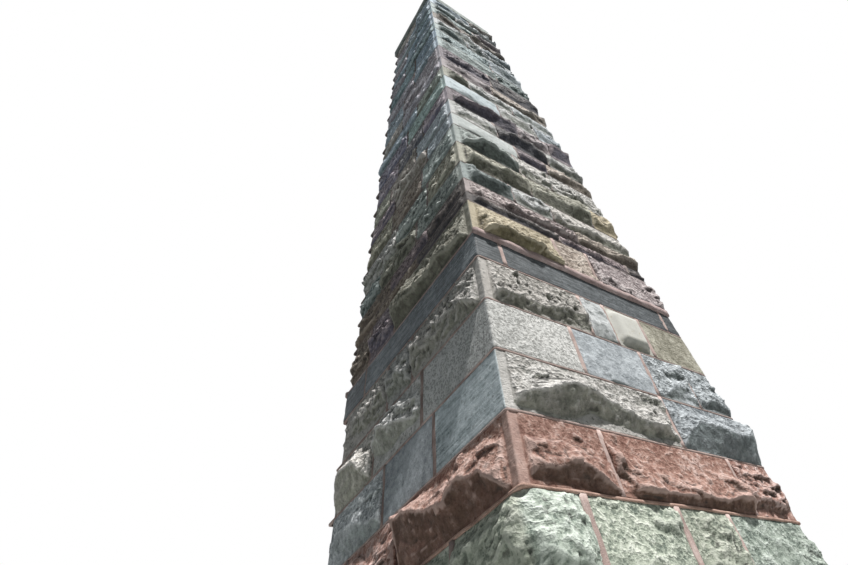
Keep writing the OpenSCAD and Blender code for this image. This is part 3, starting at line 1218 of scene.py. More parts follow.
F, R, W = Face, Rock, Work
LOOKS: dict[int, CourseLook] = {
    1: boulders((R.GREEN, R.MINT, R.OLIVE, R.GREEN), (R.OLIVE, R.BUFF, R.GREEN)),
    2: boulders((R.BUFF, R.WHITE, R.MINT, R.BUFF), (R.MINT, R.OLIVE, R.BUFF)),
    3: boulders((R.GREEN, R.BLUE, R.MINT, R.GREEN), (R.BLUE, R.MINT, R.GREEN)),
    4: boulders((R.WHITE, R.PINK, R.MINT, R.BUFF), (R.MINT, R.BUFF, R.WHITE)),
    5: boulders((R.MINT, R.GREEN, R.WHITE, R.MINT), (R.WHITE, R.GREEN, R.MINT)),
    6: CourseLook(
        row(F(R.MINT, W.BOULDER, (0.04, 0.06, 0.065, 0.02), light=0.92),
            F(R.MINT, W.BOULDER, (0.015, 0.04, 0.035, 0.015), light=0.9),
            F(R.MINT, W.BOULDER, (0.015, 0.035, 0.05), light=0.84)),
        row(F(R.MINT, W.BOULDER, (0.02, 0.05, 0.06)), F(R.MINT, W.BOULDER, 0.06),
            F(R.MINT, W.BOULDER, (0.05, 0.05, 0.03), 0.8, 0.85)), 0.010),
    7: CourseLook(
        row(F(R.RED, W.CRAGGED, (0.05, 0.066, 0.07, 0.07, 0.035), (0.2, 0.26, 0.3, 0.34, 0.2, 0.12), 0.86),
            F(R.RED, W.CRAGGED, (0.03, 0.07, 0.075, 0.07, 0.07),
              (0.14, 0.12, 0.2, 0.14, 0.24, 0.3, 0.22), 0.92),
            F(R.RED, W.LEDGED, 0.066, (0.5, 0.3, 0.4))),
        row(F(R.RED, W.CRAGGED, (0.02, 0.04, 0.04), 0.25), F(R.RED, W.CRAGGED, 0.075, (0.3, 0.2, 0.25, 0.3)),
            F(R.RED, W.CRAGGED, 0.09, (0.85, 0.8, 0.73, 0.6, 0.42, 0.55, 0.55, 0.12))), 0.0085),
    8: CourseLook(
        row(F(R.WHITE, W.BROWED, (0.06, 0.09, 0.105, 0.1, 0.1, 0.08, 0.035),
              (0.22, 0.28, 0.56, 0.5, 0.54, 0.46, 0.34, 0.16), 0.86),
            F(R.BLUE, W.ROCK, (0.03, 0.07, 0.08, 0.075, 0.065),
              (0.12, 0.44, 0.7, 0.64, 0.56, 0.52, 0.5, 0.7), 0.66)),
        row(F(R.BLUE, W.ROCK, (0.004, 0.03, 0.04, 0.03), (0.3, 0.6, 0.5, 0.2), 1.1),
            F(R.BLUE, W.SAWN, light=0.74), F(R.STREAKED, W.SAWN, light=0.86)), 0.0085),
    9: CourseLook(
        row(F(R.GRANITE, W.SAWN, light=1.12), F(R.BLUE, W.SPLIT, 0.012, light=0.9),
            F(R.MOTTLED, W.ROCK, 0.035, (0.1, 0.3, 0.5, 0.2), 0.95),
            F(R.MOTTLED, W.ROCK, (0.015, 0.04, 0.05, 0.055), (0.1, 0.35, 0.2), 0.9)),
        row(F(R.WHITE, W.ROCK, (0.004, 0.045, 0.06, 0.06, 0.05), (0.75, 0.85, 0.65, 0.4, 0.05), 1.1),
            F(R.WHITE, W.BROWED, (0.05, 0.075, 0.08, 0.06, 0.03), (0.6, 0.5, 0.56, 0.45, 0.3), 1.15),
            F(R.GRANITE, W.SAWN, light=0.94)), 0.0085),
    10: CourseLook(
        row(F(R.WHITE, W.PITTED, 0.055, (0.15, 0.2, 0.26, 0.36, 0.4), 0.78), F(R.MOTTLED, W.SPLIT, 0.022),
            F(R.CREAM, W.PANEL, light=0.93), F(R.OLIVE, W.SAWN, light=1.05)),
        row(F(R.WHITE, W.PITTED, (0.004, 0.04, 0.045), 0.55, 0.86),
            F(R.WHITE, W.PITTED, 0.05, (0.6, 0.5, 0.2), 0.86),
            F(R.WHITE, W.PITTED, 0.052, (0.6, 0.6, 0.55, 0.6, 0.35, 0.06), 0.86)), 0.0085),
    11: CourseLook(row(F(R.SLATE, W.SLATE, light=0.53)), row(R.SLATE, work=W.SLATE), 0.012),
    12: CourseLook(
        row(F(R.YELLOW, W.ROCK, 0.085, (0.1, 0.28, 0.38, 0.26, 0.2, 0.14, 0.1), 0.87),
            F(R.BUFF, W.ROCK, 0.03, 0.15, 0.9),
            F(R.PINK, W.ROCK, 0.05, (0.1, 0.2, 0.12, 0.3))),
        row(F(R.BROWN, W.LEDGED, 0.05, (0.4, 0.5, 0.2)), F(R.PURPLE, W.LEDGED),
            F(R.OLIVE, W.ROCK, 0.075, (0.4, 0.3, 0.24, 0.28, 0.2, 0.06), 0.7)), 0.0085),
    13: mixed((F(R.BLACK, out=0.042, ridge=0.6), F(R.PURPLE, W.LEDGED, 0.03), R.BLACK),
              (R.BROWN, F(R.BROWN, W.LEDGED), R.BLACK), W.RUGGED),
    14: mixed((F(R.PINK, W.LEDGED), F(R.BROWN, light=1.25)), (R.BROWN, R.PURPLE, R.BLACK), W.LEDGED),
    15: mixed((F(R.GREEN, out=0.06, ridge=0.55, light=0.8), R.WHITE, F(R.WHITE, out=0.05, ridge=0.35)),
              (R.GREEN, R.OLIVE, R.GREEN), W.LEDGED),
    16: mixed((F(R.OLIVE, W.ROCK, 0.076, (0.35, 0.5, 0.42, 0.55)),
               F(R.OLIVE, W.ROCK, 0.076, (0.45, 0.55, 0.5)), F(R.YELLOW, light=0.9)),
              (R.WHITE, R.GREEN, R.OLIVE), W.LEDGED),
    17: mixed((F(R.GREEN, out=0.066, ridge=(0.2, 0.5, 0.45, 0.3), light=0.85), F(R.WHITE, W.PITTED),
               F(R.WHITE, W.LEDGED)), (R.OLIVE, R.BROWN, R.GREEN)),
    18: mixed((F(R.MARBLE, W.SPLIT, 0.014, light=0.8), F(R.PURPLE, out=0.05), F(R.BUFF, ridge=0.4)),
              (R.PURPLE, F(R.BUFF, W.BEDDED, 0.05, 0.75), R.BLUE)),
    19: mixed((R.WHITE, F(R.BLACK, out=0.048, ridge=(0.2, 0.45, 0.5, 0.2)), R.WHITE),
              (R.OLIVE, R.BROWN, R.BLUE)),
    20: mixed((F(R.PURPLE, out=0.066, ridge=(0.1, 0.3, 0.5, 0.6, 0.6), light=0.85), R.PINK,
               F(R.PURPLE, out=0.06, ridge=0.5)), (R.PURPLE, R.BLACK, R.PURPLE)),
    21: mixed((F(R.MARBLE, W.SPLIT, 0.02, light=0.8), R.WHITE, R.BLUE),
              (R.PURPLE, F(R.MINT, W.BEDDED, 0.02))),
    22: mixed((R.OLIVE, R.WHITE, R.WHITE), (R.BLUE, R.OLIVE)),
    23: mixed((R.PINK, R.BUFF), (R.BUFF, R.PINK)),
    24: mixed((F(R.PURPLE, W.LEDGED), F(R.BLACK, light=1.2)), (R.MOTTLED, R.PINK)),
    25: mixed((F(R.GREEN, ridge=0.6), F(R.GREEN, W.LEDGED)), (R.PINK, R.MOTTLED)),
    26: mixed((F(R.GREEN, W.LEDGED), R.BLUE), (R.GREEN, R.BLUE)),
    27: mixed((R.GREEN, F(R.WHITE, W.LEDGED)), (R.PINK, R.GREEN)),
    28: mixed((R.WHITE, R.BLUE), (R.BLUE, R.MOTTLED)),
    29: mixed((R.BROWN, R.BROWN), (R.PINK, R.BLUE)),
    30: mixed((R.GREEN, R.PINK), (R.WHITE, R.GREEN)),
    31: mixed((R.GREEN, R.WHITE), (R.PINK, R.BLUE)),
    32: mixed((R.BLUE, R.BUFF), (R.BUFF, R.BLUE)),
}


@dataclass
class Course:
    """One course of stones on all four sides."""

    number: int
    shaft: Shaft
    look: CourseLook
    low_last: int = 12
    high_out: float = 0.042
    # Painted haze and painted light: high stones paler and cooler, and the left and right sides, against
    # their shade, far more so.
    painted_haze_low: float = 4.4
    painted_haze_high: float = 6.8
    painted_haze_and_side_light: tuple[float, float] = (0.05, 1.8)
    painted_haze_cool: tuple[float, float] = (0.05, 0.11)
    chips: Wave = Wave(0.5, 0.05)
    chip_reach: float = 0.012
    strip_edge: float = 0.004
    light_stray: tuple[float, float] = (0.9, 1.1)
    warm_stray: float = 0.03
    palest: float = 0.92
    out_stray: tuple[float, float] = (0.92, 1.1)
    out_limit: float = 0.3
    hidden_pitch: float = 1.7
    flat_pitch: float = 2.2

    def __post_init__(self) -> None:
        """Takes the height of the course from the shaft, with the open joint down to a thin seam."""
        spare = (self.shaft.joint_w - self.shaft.seam_w) / 2
        self.bottom = self.shaft.bottoms[self.number - 1] - spare
        self.top = self.shaft.tops[self.number - 1] + spare
        self.boulders = self.number <= self.shaft.boulder_last

    def last(self, side: int) -> int:
        """Number of the last stone on a side."""
        return len(self.shaft.shares(self.number, side))

    def face(self, side: int, place: int) -> Face:
        """Row entry of the stone at a place on a side.

        The front's last stone also starts the right side, and the left side's first stone
        also ends the back.

        Args:
            side: Number of the side.
            place: Number of the stone from the side's left end.

        Returns:
            The entry.
        """
        faces = self.look.front if side % 2 == 0 else self.look.left
        if side == 1 and place == 0:
            return self.look.front[-1].mirrored()
        if side == 2 and place == self.last(side):
            return self.look.left[0].mirrored()
        if place == self.last(side):
            return faces[-1]
        return faces[place % len(faces)]

    def tint(self, side: int, place: int, face: Face) -> Grid:
        """Factor on the colour of a stone.

        It differs a little from stone to stone. High up the stones are painted paler and cooler
        as haze, the dark kinds more so, and the left and right sides far more so as painted light
        against their shade: the gain is painted_haze_and_side_light * (1 - green part of the
        kind's middle colour), times a smooth step of the height. The palest colour stays below
        white.

        Args:
            side: Number of the side.
            place: Number of the stone from the side's left end.
            face: Row entry of the stone.

        Returns:
            Factors for red, green and blue.
        """
        key = self.number * 10 + side
        painted_haze_share = float(rise(np.array(self.bottom), self.painted_haze_low, self.painted_haze_high))
        pale, middle = FINISHES[face.rock].shades()[:2]
        light = face.light * pick(*self.light_stray, key, place + 3)
        # Painted haze, and painted light on the left and right sides.
        light *= 1 + self.painted_haze_and_side_light[side % 2] * painted_haze_share * (1 - middle[1])
        warm = pick(-self.warm_stray, self.warm_stray, key, place + 7) - self.painted_haze_cool[side % 2] * painted_haze_share
        return min(light, self.palest / pale[1]) * np.array([1 + warm, 1.0, 1 - warm])

    def pitch(self, side: int, place: int) -> float:
        """Distance between grid points of a face: finer on the front and the left, wide on flat work."""
        flat = self.flat_pitch if self.face(side, place).work in FLAT_WORKS else 1.0
        return self.look.pitch * (1.0 if side in (0, 3) else self.hidden_pitch) * flat

    def drafted(self, side: int) -> bool:
        """Whether flat strips line the arris at the left end of a side: two arrises above the boulders."""
        return side % 2 == 0 and not self.boulders

    def rugged(self, side: int) -> bool:
        """Whether the rough work of both faces runs on over the arris at the left end of a side.

        Args:
            side: Number of the side, where 4 is the front again.

        Returns:
            True where no flat strip and no flat working meets the arris.
        """
        before = (side + 3) % SIDES
        works = (self.face(side % SIDES, 0).work, self.face(before, self.last(before)).work)
        return not self.drafted(side) and not any(work in FLAT_WORKS for work in works)

    def seed(self, side: int, place: int) -> int:
        """Seed of the relief of one face."""
        return self.number * 1009 + side * 131 + place * 17

    def patch(self, side: int, place: int, length: float) -> Patch:
        """Face of a stone, with its strip beside an arris.

        Args:
            side: Number of the side.
            place: Number of the stone from the side's left end.
            length: Length of the face.

        Returns:
            The face, ready to give its relief.
        """
        face, last = self.face(side, place), self.last(side)
        work = face.work
        if work is Work.PANEL and (self.number, side, place) != self.shaft.panelled:
            work = Work.SAWN
        height = self.top - self.bottom
        own = FORMS[work].out if self.number <= self.low_last else min(FORMS[work].out, self.high_out)
        factor = pick(*self.out_stray, self.number * 7 + side, place)
        out = tuple(v * factor for v in face.out) if isinstance(face.out, tuple) else (
            (face.out or min(own, self.out_limit * height)) * factor)
        first, final = place == 0, place == last
        draft = 0.0 if work in FLAT_WORKS else self.shaft.draft_w
        return Patch(length, height, work, self.seed(side, place), out, face.ridge,
                     draft * (first and self.drafted(side)), draft * (final and self.drafted(side + 1)),
                     first and self.rugged(side), final and self.rugged(side + 1))

    def sheet(self, points: Grid, relief: Grid, fine: Grid, strip: "Grid | float", tint: Grid,
              rock: Rock) -> dict[str, Grid]:
        """Arrays of a face by name, for each point of its grid or, for the kind, each column.

        Args:
            points: Points of the face, as columns by rows by three.
            relief: Relief at those points.
            fine: Roughness at those points.
            strip: 1 on flat strips, 0 elsewhere.
            tint: Factors for red, green and blue.
            rock: Kind of stone.

        Returns:
            The arrays.
        """
        return {"points": points, "relief": relief, "fine": fine, "strip": strip + 0 * relief,
                "tint": np.broadcast_to(tint, (*relief.shape, 3)),
                "kind": np.full(len(relief), ROCK_INDEX[rock])}

    def middle(self, side: int, place: int) -> Shell:
        """Stone between two upright joints.

        The face grid has one column for each place along the stone and one row for each
        height. A point lies on the batter plane, moved out by the relief.

        Args:
            side: Number of the side.
            place: Number of the stone from the side's left end.

        Returns:
            The block in the frame of its side.
        """
        shaft, joints = self.shaft, self.shaft.joint_places(self.number, side)
        x0, x1 = joints[place - 1] + shaft.seam_w / 2, joints[place] - shaft.seam_w / 2
        face, pitch = self.face(side, place), self.pitch(side, place)
        a, z = np.meshgrid(spread(x1 - x0, pitch), spread(self.top - self.bottom, pitch), indexing="ij")
        relief, fine = self.patch(side, place, x1 - x0).relief(a, z)
        height = z + self.bottom
        points = np.stack([x0 + a, -shaft.half(height) - relief, height], axis=2)
        inner = shaft.bed_depth - shaft.half(self.top)
        sheet = self.sheet(points, relief, fine, 0.0, self.tint(side, place, face), face.rock)
        return Shell.block(sheet, [(x1, inner), (x0, inner)], height[0])

    def flank(self, side: int, place: int, end: float, z: Grid, chip: Grid, kind: Face) -> dict[str, Grid]:
        """Half of a corner stone, from the arris to its upright joint.

        A column lies at a distance from the arris that starts where the small round of the
        arris turns. The relief moves a point out of the batter plane, and the round and the
        chips, which fade by exp(-distance / reach), move it back. Points are told by their
        place along the side, their place across it and their height.

        Args:
            side: Number of the side.
            place: Number of the stone from the side's left end.
            end: Distance of the upright joint from the middle of the side, away from the arris.
            z: Height of each row over the bottom.
            chip: Depth of the chips at the arris for each row, as a share of its round.
            kind: Row entry that names the kind of stone.

        Returns:
            The arrays of the face.
        """
        length = end + self.shaft.half(self.top)
        radius = self.arris_round(side if place == 0 else side + 1)
        start = radius * (1 - math.sqrt(0.5))
        e = spread(length - start, self.pitch(side, place))[:, None] + start
        z = z[None, :] + 0 * e
        patch = self.patch(side, place, length)
        relief, fine = patch.relief((e if place == 0 else length - e) + 0 * z, z)
        half = self.shaft.half(z + self.bottom)
        back = self.rounded(e, radius) + radius * chip * np.exp(-e / self.chip_reach)
        points = np.stack([-half + e / length * (end + half), -half - relief + back, z + self.bottom], axis=2)
        strip = 1.0 * (e < patch.draft_left + patch.draft_right - self.strip_edge)
        return self.sheet(points, relief, fine, strip, self.tint(side, place, kind), kind.rock)

    def corner(self, side: int) -> Shell:
        """Stone round the arris at the left end of a side.

        One grid runs along the side before, round the arris and along the side itself. At
        the arrises of the front and the back each half has the kind that its own row names.

        Args:
            side: Number of the side whose left end the stone closes.

        Returns:
            The block in the frame of its side.
        """
        shaft, before = self.shaft, (side + 3) % SIDES
        last = self.last(before)
        x1 = shaft.joint_places(self.number, side)[0] - shaft.seam_w / 2
        y1 = -shaft.joint_places(self.number, before)[-1] - shaft.seam_w / 2
        z = spread(self.top - self.bottom, min(self.pitch(side, 0), self.pitch(before, last)))
        chip = np.clip(self.chips.at(z + 3.0 * side, 0.0, self.seed(side, 77)), 0, self.chips.amount)
        kind = self.face(side, 0)
        front = self.flank(side, 0, x1, z, chip, kind)
        left = self.flank(before, last, y1, z, chip, self.face(before, last) if side % 2 == 0 else kind)
        left["points"] = left["points"][..., [1, 0, 2]]
        front["points"][0] = (front["points"][0] + left["points"][0]) / 2
        front["relief"][0] = 0
        sheet = {key: np.concatenate([left[key][:0:-1], front[key]]) for key in front}
        return Shell.block(sheet, [(x1, y1)], z + self.bottom)

    def arris_round(self, side: int) -> float:
        """Radius of the arris at the left end of a side: wide where rough faces meet, most at the back.

        Args:
            side: Number of the side, where 4 is the front again.

        Returns:
            The radius.
        """
        if not self.rugged(side):
            return self.shaft.arris_round
        return self.shaft.boulder_round if self.boulders else self.shaft.rough_round[side == 3]

    def rounded(self, distance: Grid, r: float) -> Grid:
        """How far a quarter round of radius r lies behind the plane at a distance from the arris."""
        near = np.clip(distance, 0, r)
        return r - np.sqrt(np.maximum(r * r - (r - near) ** 2, 0))

    def build(self, materials: list[bpy.types.Material]) -> bpy.types.Object:
        """Makes the piece of the course: every stone on its side, turned into place.

        Args:
            materials: Materials of all kinds of stone.

        Returns:
            The piece.
        """
        shells = []
        for side in range(SIDES):
            made = [self.corner(side)]
            made += [self.middle(side, place) for place in range(1, self.last(side))]
            for shell in made:
                shell.points = turned(shell.points, side)
            shells += made
        return Shell.joined(shells).piece(f"stones_{self.number:02d}", materials)


def turned(points: Grid, side: int) -> Grid:
    """Points turned from the front to a side, by quarter turns about the upright axis.

    Args:
        points: Points, whose last axis is x, y, z.
        side: Number of quarter turns.

    Returns:
        The turned points.
    """
    for _ in range(side):
        points = np.stack([-points[..., 1], points[..., 0], points[..., 2]], axis=-1)
    return points


@dataclass
class Pointing:
    """Raised ribbons of mortar on the bed joints and the upright joints."""

    shaft: Shaft
    width: float = 0.011
    upright_width: float = 0.032
    out: float = 0.005
    high_out: float = 0.002
    root: float = 0.014
    pitch: float = 0.035
    corner_round: float = 0.014
    ledge_course: int = 12
    ledge_width: float = 0.052
    ledge_out: float = 0.024
    plinth_width: float = 0.015
    plinth_out: float = 0.009
    plinth_tint: Colour = (0.86, 0.74, 0.66)
    # Painted shade: upright ribbons on the left and right sides are darker.
    side_painted_shade: float = 0.6
    plinth_wide: float = 1.3
    lap: float = 0.006
    bed_stray: tuple[Wave, ...] = (Wave(0.12, 0.09, 2), Wave(0.16, 0.07, 2), Wave(0.0025, 0.3, 2))
    upright_stray: tuple[Wave, ...] = (Wave(0.15, 0.06, 2), Wave(0.2, 0.07, 2), Wave(0.003, 0.15, 2))
    bed_light: tuple[float, float] = (0.72, 0.88)
    upright_light: tuple[float, float] = (0.86, 1.06)
    fade_reach: float = 0.1
    ledge_turn: tuple[float, float] = (0.3, 0.8)
    upright_share: float = 0.95
    ledge_tint: Colour = (0.84, 0.84, 0.88)
    high_tint: Colour = (0.62, 0.68, 0.7)

    def profile(self) -> Grid:
        """Outline across a ribbon: pairs of place across, -1 to 1, and share of its relief."""
        return np.array([[-1.0, -1.0], [-0.98, 0.7], [-0.7, 1.0], [0.7, 1.0], [0.98, 0.7], [1.0, -1.0]])

    def relief(self, share: Grid, out: "float | Grid") -> Grid:
        """Distance from the batter plane for a share: positive parts stand out, negative ones are rooted."""
        return np.where(share > 0, share * out, share * self.root)

    def strays(self, s: Grid, seed: int, waves: tuple[Wave, ...]) -> list[Grid]:
        """Wander of a ribbon's width, relief and middle along it."""
        return [wave.at(s, 0.0, seed + 3 * k) for k, wave in enumerate(waves)]

    def bed(self, z: float, width: float, out: float, seed: int, tint: Colour) -> Shell:
        """Ribbon round the whole shaft at one height.

        The path is a square with round corners. Along it the ribbon's width, its relief
        and its middle wander a little by value noise, and the broad ledge narrows to a plain
        ribbon on the left and right sides.

        Args:
            z: Height of the ribbon's middle.
            width: Width of the ribbon.
            out: Relief of the ribbon.
            seed: Number that picks the wander.
            tint: Factor on the mortar's colour.

        Returns:
            The closed ribbon.
        """
        half, r = float(self.shaft.half(z)), self.corner_round
        straight = np.linspace(-(half - r), half - r, max(8, int(2 * half / self.pitch)))
        angle = np.concatenate([0 * straight, np.linspace(0, math.pi / 2, 5)[1:-1]])
        along = np.concatenate([straight, np.full(3, half - r)])
        normal = np.stack([np.sin(angle), -np.cos(angle), 0 * angle], axis=1)
        path = np.stack([along, r - half + 0 * along, 0 * along], axis=1) + r * normal
        path, normal = (np.concatenate([turned(v, side) for side in range(SIDES)]) for v in (path, normal))
        s = np.arange(len(path)) * self.pitch
        fade = np.minimum(1, np.minimum(s, s[-1] - s) / self.fade_reach)
        broad = np.ones(len(path))
        if out == self.ledge_out:
            broad = rise(np.abs(normal[:, 1]), *self.ledge_turn)
        width = self.width + (width - self.width) * broad
        out = self.out + (out - self.out) * broad
        wide, high, drift = (fade * v for v in self.strays(s, seed, self.bed_stray))
        wide = width / 2 * (1 + wide)
        across, share = self.profile().T
        stand = self.relief(share[None, :], out[:, None]) * (1 + high[:, None])
        level = z + drift[:, None] + across[None, :] * wide[:, None]
        points = path[:, None, :] + normal[:, None, :] * stand[..., None]
        points[..., 2] = level
        lean = self.shaft.taper * (level - z)
        points[..., :2] -= normal[:, None, :2] * lean[..., None]
        return Shell.swept(points, True, tint=tint)

    def upright(self, course: int, side: int, x: float, seed: int) -> Shell:
        """Ribbon on one upright joint.

        Args:
            course: Number of the course.
            side: Number of the side.
            x: Place of the joint along the side.
            seed: Number that picks the wander.

        Returns:
            The closed ribbon, in place.
        """
        z0, z1 = self.shaft.bottoms[course - 1] - self.lap, self.shaft.tops[course - 1] + self.lap
        z = np.linspace(z0, z1, max(5, int((z1 - z0) / self.pitch)))
        low = course <= self.shaft.boulder_last
        out, factor = (self.plinth_out, self.plinth_wide) if low else (self.out, 1.0)
        wide, high, drift = self.strays(z, seed, self.upright_stray)
        wide = self.upright_width * factor / 2 * (self.upright_share + wide)
        across, share = self.profile()[::-1].T
        stand = self.relief(share, out)[None, :] * (1 + high[:, None])
        points = np.stack([
            x + drift[:, None] + across[None, :] * wide[:, None],
            -self.shaft.half(z)[:, None] - stand,
            z[:, None] + 0 * stand], axis=2)
        # Upright ribbons on the left and right sides are darkened as painted shade.
        light = pick(*self.upright_light, seed, 1) * (1.0 if side % 2 == 0 else self.side_painted_shade)
        tint = self.tint(course > self.ledge_course, light)
        return Shell.swept(turned(points, side), False, tint=tint)

    def tint(self, high: bool, light: float) -> Colour:
        """Factor on the mortar's colour, greyer and darker on the courses over the ledge."""
        base = self.high_tint if high else WHITE
        return tuple(light * value for value in base)

    def build(self, material: bpy.types.Material) -> list[bpy.types.Object]:
        """Makes the bed ribbons and the upright ribbons, one piece each.

        Args:
            material: Mortar.

        Returns:
            The two pieces.
        """
        shaft = self.shaft
        beds = []
        levels = [*shaft.bottoms, shaft.tops[-1] + shaft.joint_w]
        for i, bottom in enumerate(levels, start=1):
            ledge, high = i == self.ledge_course, i > self.ledge_course
            low = i <= shaft.boulder_last + 1
            width = self.ledge_width if ledge else self.plinth_width if low else self.width
            out = self.ledge_out if ledge else self.plinth_out if low else self.high_out if high else self.out
            tint = (self.ledge_tint if ledge else self.plinth_tint if low
                    else self.tint(high, pick(*self.bed_light, i, 5)))
            beds.append(self.bed(bottom - shaft.joint_w / 2, width, out, i * 53, tint))
        uprights = [self.upright(i, side, x, i * 97 + side * 29 + k)
                    for i in range(1, COURSES + 1) for side in range(SIDES)
                    for k, x in enumerate(shaft.joint_places(i, side))]
        return [Shell.joined(beds).piece("bed_ribbons", [material]),
                Shell.joined(uprights).piece("upright_ribbons", [material])]


@dataclass
class Block:
    """A square dressed block, such as the footing or the capstone, through rings of half width and height."""

    name: str
    rings: list[tuple[float, float]]
    rock: Rock
    pitch: float = 0.03
    corner_round: float = 0.012
    round_limit: float = 0.4
    wear: float = 0.002
    wear_size: float = 0.07
    fade_reach: float = 0.2

    @classmethod
    def footing(cls, chamfer: float = 0.035) -> "Block":
        """Footing as large as the solid one, with a chamfered upper edge.

        Args:
            chamfer: Width and height of the chamfer in metres.

        Returns:
            The footing.
        """
        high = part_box("footing")[1]
        return cls("footing_block", [(high.x, 0.0), (high.x, high.z - chamfer), (high.x - chamfer, high.z)],
                   Rock.OLIVE)

    @classmethod
    def capstone(cls, band: float = 0.11, tip: float = 0.02) -> "Block":
        """Capstone as large as the solid one, with an upright band under a low point.

        Args:
            band: Height of the band in metres.
            tip: Half width of the point's flat tip in metres.

        Returns:
            The capstone.
        """
        low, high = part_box("capstone")
        return cls("cap_block", [(high.x, low.z), (high.x, low.z + band), (tip, high.z)], Rock.GREEN, 0.02)

    def build(self, materials: list[bpy.types.Material]) -> bpy.types.Object:
        """Makes the block.

        A profile of rings, filled with rows between them, is carried round a square path
        with round corners. Its surface is worn back by value noise, never out.

        Args:
            materials: Materials of all kinds of stone.

        Returns:
            The piece.
        """
        wide, high = [], []
        for (w0, h0), (w1, h1) in zip(self.rings[:-1], self.rings[1:]):
            count = max(1, int(math.hypot(w1 - w0, h1 - h0) / self.pitch))
            steps = np.arange(count) / count
            wide.append(w0 + (w1 - w0) * steps)
            high.append(h0 + (h1 - h0) * steps)
        wide = np.concatenate([*wide, [self.rings[-1][0]]])
        high = np.concatenate([*high, [self.rings[-1][1]]])
        largest = max(w for w, _ in self.rings)
        count = int(2 * largest / self.pitch)
        share = np.linspace(-1, 1, count, endpoint=False)
        r = np.minimum(self.corner_round, wide * self.round_limit)[None, :]
        near = np.clip((np.abs(share)[:, None] - 1) * wide[None, :] / r + 1, 0, 1)
        back = r * (1 - np.sqrt(1 - near ** 2 * 0.5)) * 0.6
        face = np.stack([share[:, None] * wide[None, :], -wide[None, :] + back,
                         high[None, :] + 0 * back], axis=2)
        points = np.concatenate([turned(face, side) for side in range(SIDES)])
        s = np.arange(points.shape[0])[:, None] * self.pitch
        fade = np.minimum(1, np.minimum(s, s[-1] - s) / self.fade_reach)
        wear = self.wear * fade * (1 + Noise.layers(s, high[None, :], self.wear_size, 3, 5)) / 2
        length = np.maximum(np.linalg.norm(points[..., :2], axis=2), 1e-6)
        points[..., :2] *= (1 - wear / length)[..., None]
        shell = Shell.swept(points.transpose(1, 0, 2)[:, ::-1], False, ROCK_INDEX[self.rock],
                            slope=0.0, crest=0.0, fine=0.3, strip=0.0, tint=WHITE)
        return shell.piece(self.name, materials)


@dataclass(frozen=True)
class Lamp:
    """Distant lamp. Its softness, elevation and azimuth are in degrees."""

    name: str
    strength: float
    softness: float
    elevation: float
    azimuth: float
    colour: Colour

    def build(self) -> None:
        """Adds the lamp to the scene."""
        data = bpy.data.lights.new(self.name, "SUN")
        data.energy, data.color = self.strength, self.colour
        data.angle = math.radians(self.softness)
        linked(self.name, data).rotation_euler = (
            math.radians(90 - self.elevation), 0, math.radians(self.azimuth))


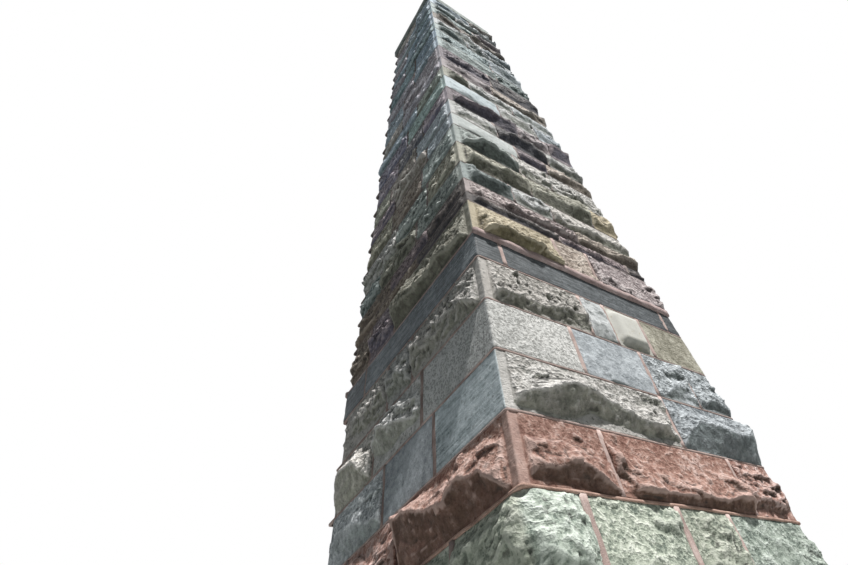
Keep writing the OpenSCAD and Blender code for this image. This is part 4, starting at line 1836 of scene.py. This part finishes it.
@dataclass
class Studio:
    """Camera, lamps, floor and world."""

    camera_at: tuple[float, float, float] = (-2.15252, -2.34977, 1.60006)
    yaw: float = -49.28110
    pitch: float = 39.83265
    roll: float = -16.66446
    focal_px: float = 575.593
    picture_w: float = 848.0
    centre_px: tuple[float, float] = (131.505, 36.379)
    sensor: float = 36.0
    key: Lamp = Lamp("key", 6.5, 2.5, 67.0, 3.0, (1.0, 0.99, 0.97))
    fill: Lamp = Lamp("fill", 1.3, 30.0, 25.0, 135.0, (0.95, 0.98, 1.0))
    sky: float = 0.14
    sky_colour: Colour = (0.84, 0.95, 1.0)
    floor_reach: float = 4.5
    floor_colour: Colour = (0.50, 0.51, 0.50)

    def camera(self) -> bpy.types.Object:
        """Places the camera where the picture was taken from.

        The view direction has the yaw and pitch, the frame is turned by the roll, and the
        shift moves the picture's centre off the optical axis by a number of pixels.

        Returns:
            The camera.
        """
        yaw, pitch, roll = (math.radians(v) for v in (self.yaw, self.pitch, self.roll))
        forward = Vector((-math.sin(yaw) * math.cos(pitch), math.cos(yaw) * math.cos(pitch), math.sin(pitch)))
        level = Vector((math.cos(yaw), math.sin(yaw), 0))
        upright = level.cross(forward)
        right = math.cos(roll) * level + math.sin(roll) * upright
        up = math.cos(roll) * upright - math.sin(roll) * level
        data = bpy.data.cameras.new("camera")
        data.sensor_width = self.sensor
        data.lens = self.focal_px / self.picture_w * self.sensor
        data.shift_x = -self.centre_px[0] / self.picture_w
        data.shift_y = self.centre_px[1] / self.picture_w
        data.clip_end = 200.0
        made = linked("camera", data)
        turn = Matrix((right, up, -forward)).transposed().to_4x4()
        made.matrix_world = Matrix.Translation(self.camera_at) @ turn
        bpy.context.scene.camera = made
        return made

    def lamps(self) -> None:
        """Adds a high lamp from the front right and a weak soft one that reaches only the two far sides."""
        for lamp in (self.key, self.fill):
            lamp.build()

    def world(self) -> None:
        """Even pale light from all round, with a white background for the camera."""
        world = bpy.data.worlds.new("studio")
        bpy.context.scene.world = world
        b = Bench(world, "ShaderNodeOutputWorld")
        light, back = (b.node("ShaderNodeBackground", None, {"Color": colour, "Strength": strength})
                       for colour, strength in ((self.sky_colour, self.sky), (WHITE, 1.0)))
        seen, *others = (b.node("ShaderNodeLightPath", output=f"Is {kind} Ray")
                         for kind in ("Camera", "Glossy", "Transmission"))
        for other in others:
            seen = seen.math("MAXIMUM", other)
        b.put(b.surface, b.node("ShaderNodeMixShader", None, {0: seen, 1: light, 2: back}))

    def floor(self) -> None:
        """Plain pale floor under the object."""
        r = self.floor_reach
        mesh = bpy.data.meshes.new("floor")
        mesh.from_pydata([(-r, -r, 0), (r, -r, 0), (r, r, 0), (-r, r, 0)], [], [(0, 1, 2, 3)])
        mesh.materials.append(MaterialBench("floor").dress(Base_Color=self.floor_colour, Roughness=0.9))
        made = linked("floor", mesh)


def place(piece: bpy.types.Object, slot: str, *nodes: str) -> None:
    """Lets a piece ride on the body, and hides the nodes of the frame that it stands for.

    Args:
        piece: Finished piece.
        slot: Material slot of the record; not used.
        nodes: Nodes of the frame that the piece replaces.
    """
    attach(piece, BODY)
    if nodes:
        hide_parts(*nodes)
    log.info("%s: %d faces", piece.name, len(piece.data.polygons))


def main() -> None:
    """Builds the studio, the materials and every piece."""
    studio = Studio()
    studio.camera()
    studio.lamps()
    studio.world()
    studio.floor()
    slots = {part["node"]: part["material_slot"] for part in frame["record"]["subparts"]}
    materials = [FINISHES[rock].build(rock.value) for rock in Rock]
    mortar = MortarFinish().build()
    shaft = Shaft()
    for number in range(1, COURSES + 1):
        node = f"course_{number:02d}"
        place(Course(number, shaft, LOOKS[number]).build(materials), slots[node], node)
    for piece in Pointing(shaft).build(mortar):
        place(piece, slots["mortar_base"])
    for block, node in ((Block.footing(), "footing"), (Block.capstone(), "capstone")):
        place(block.build(materials), slots[node], node)
    for name in ("mortar_base", "mortar_lower", "mortar_middle", "mortar_upper"):
        mesh = frame["nodes"][name].data
        mesh.materials.clear()
        mesh.materials.append(mortar)
    bpy.context.scene.view_settings.view_transform = "Standard"


if __name__ == "__main__":
    logging.basicConfig(level=logging.INFO, format="%(name)s: %(message)s")
    main()
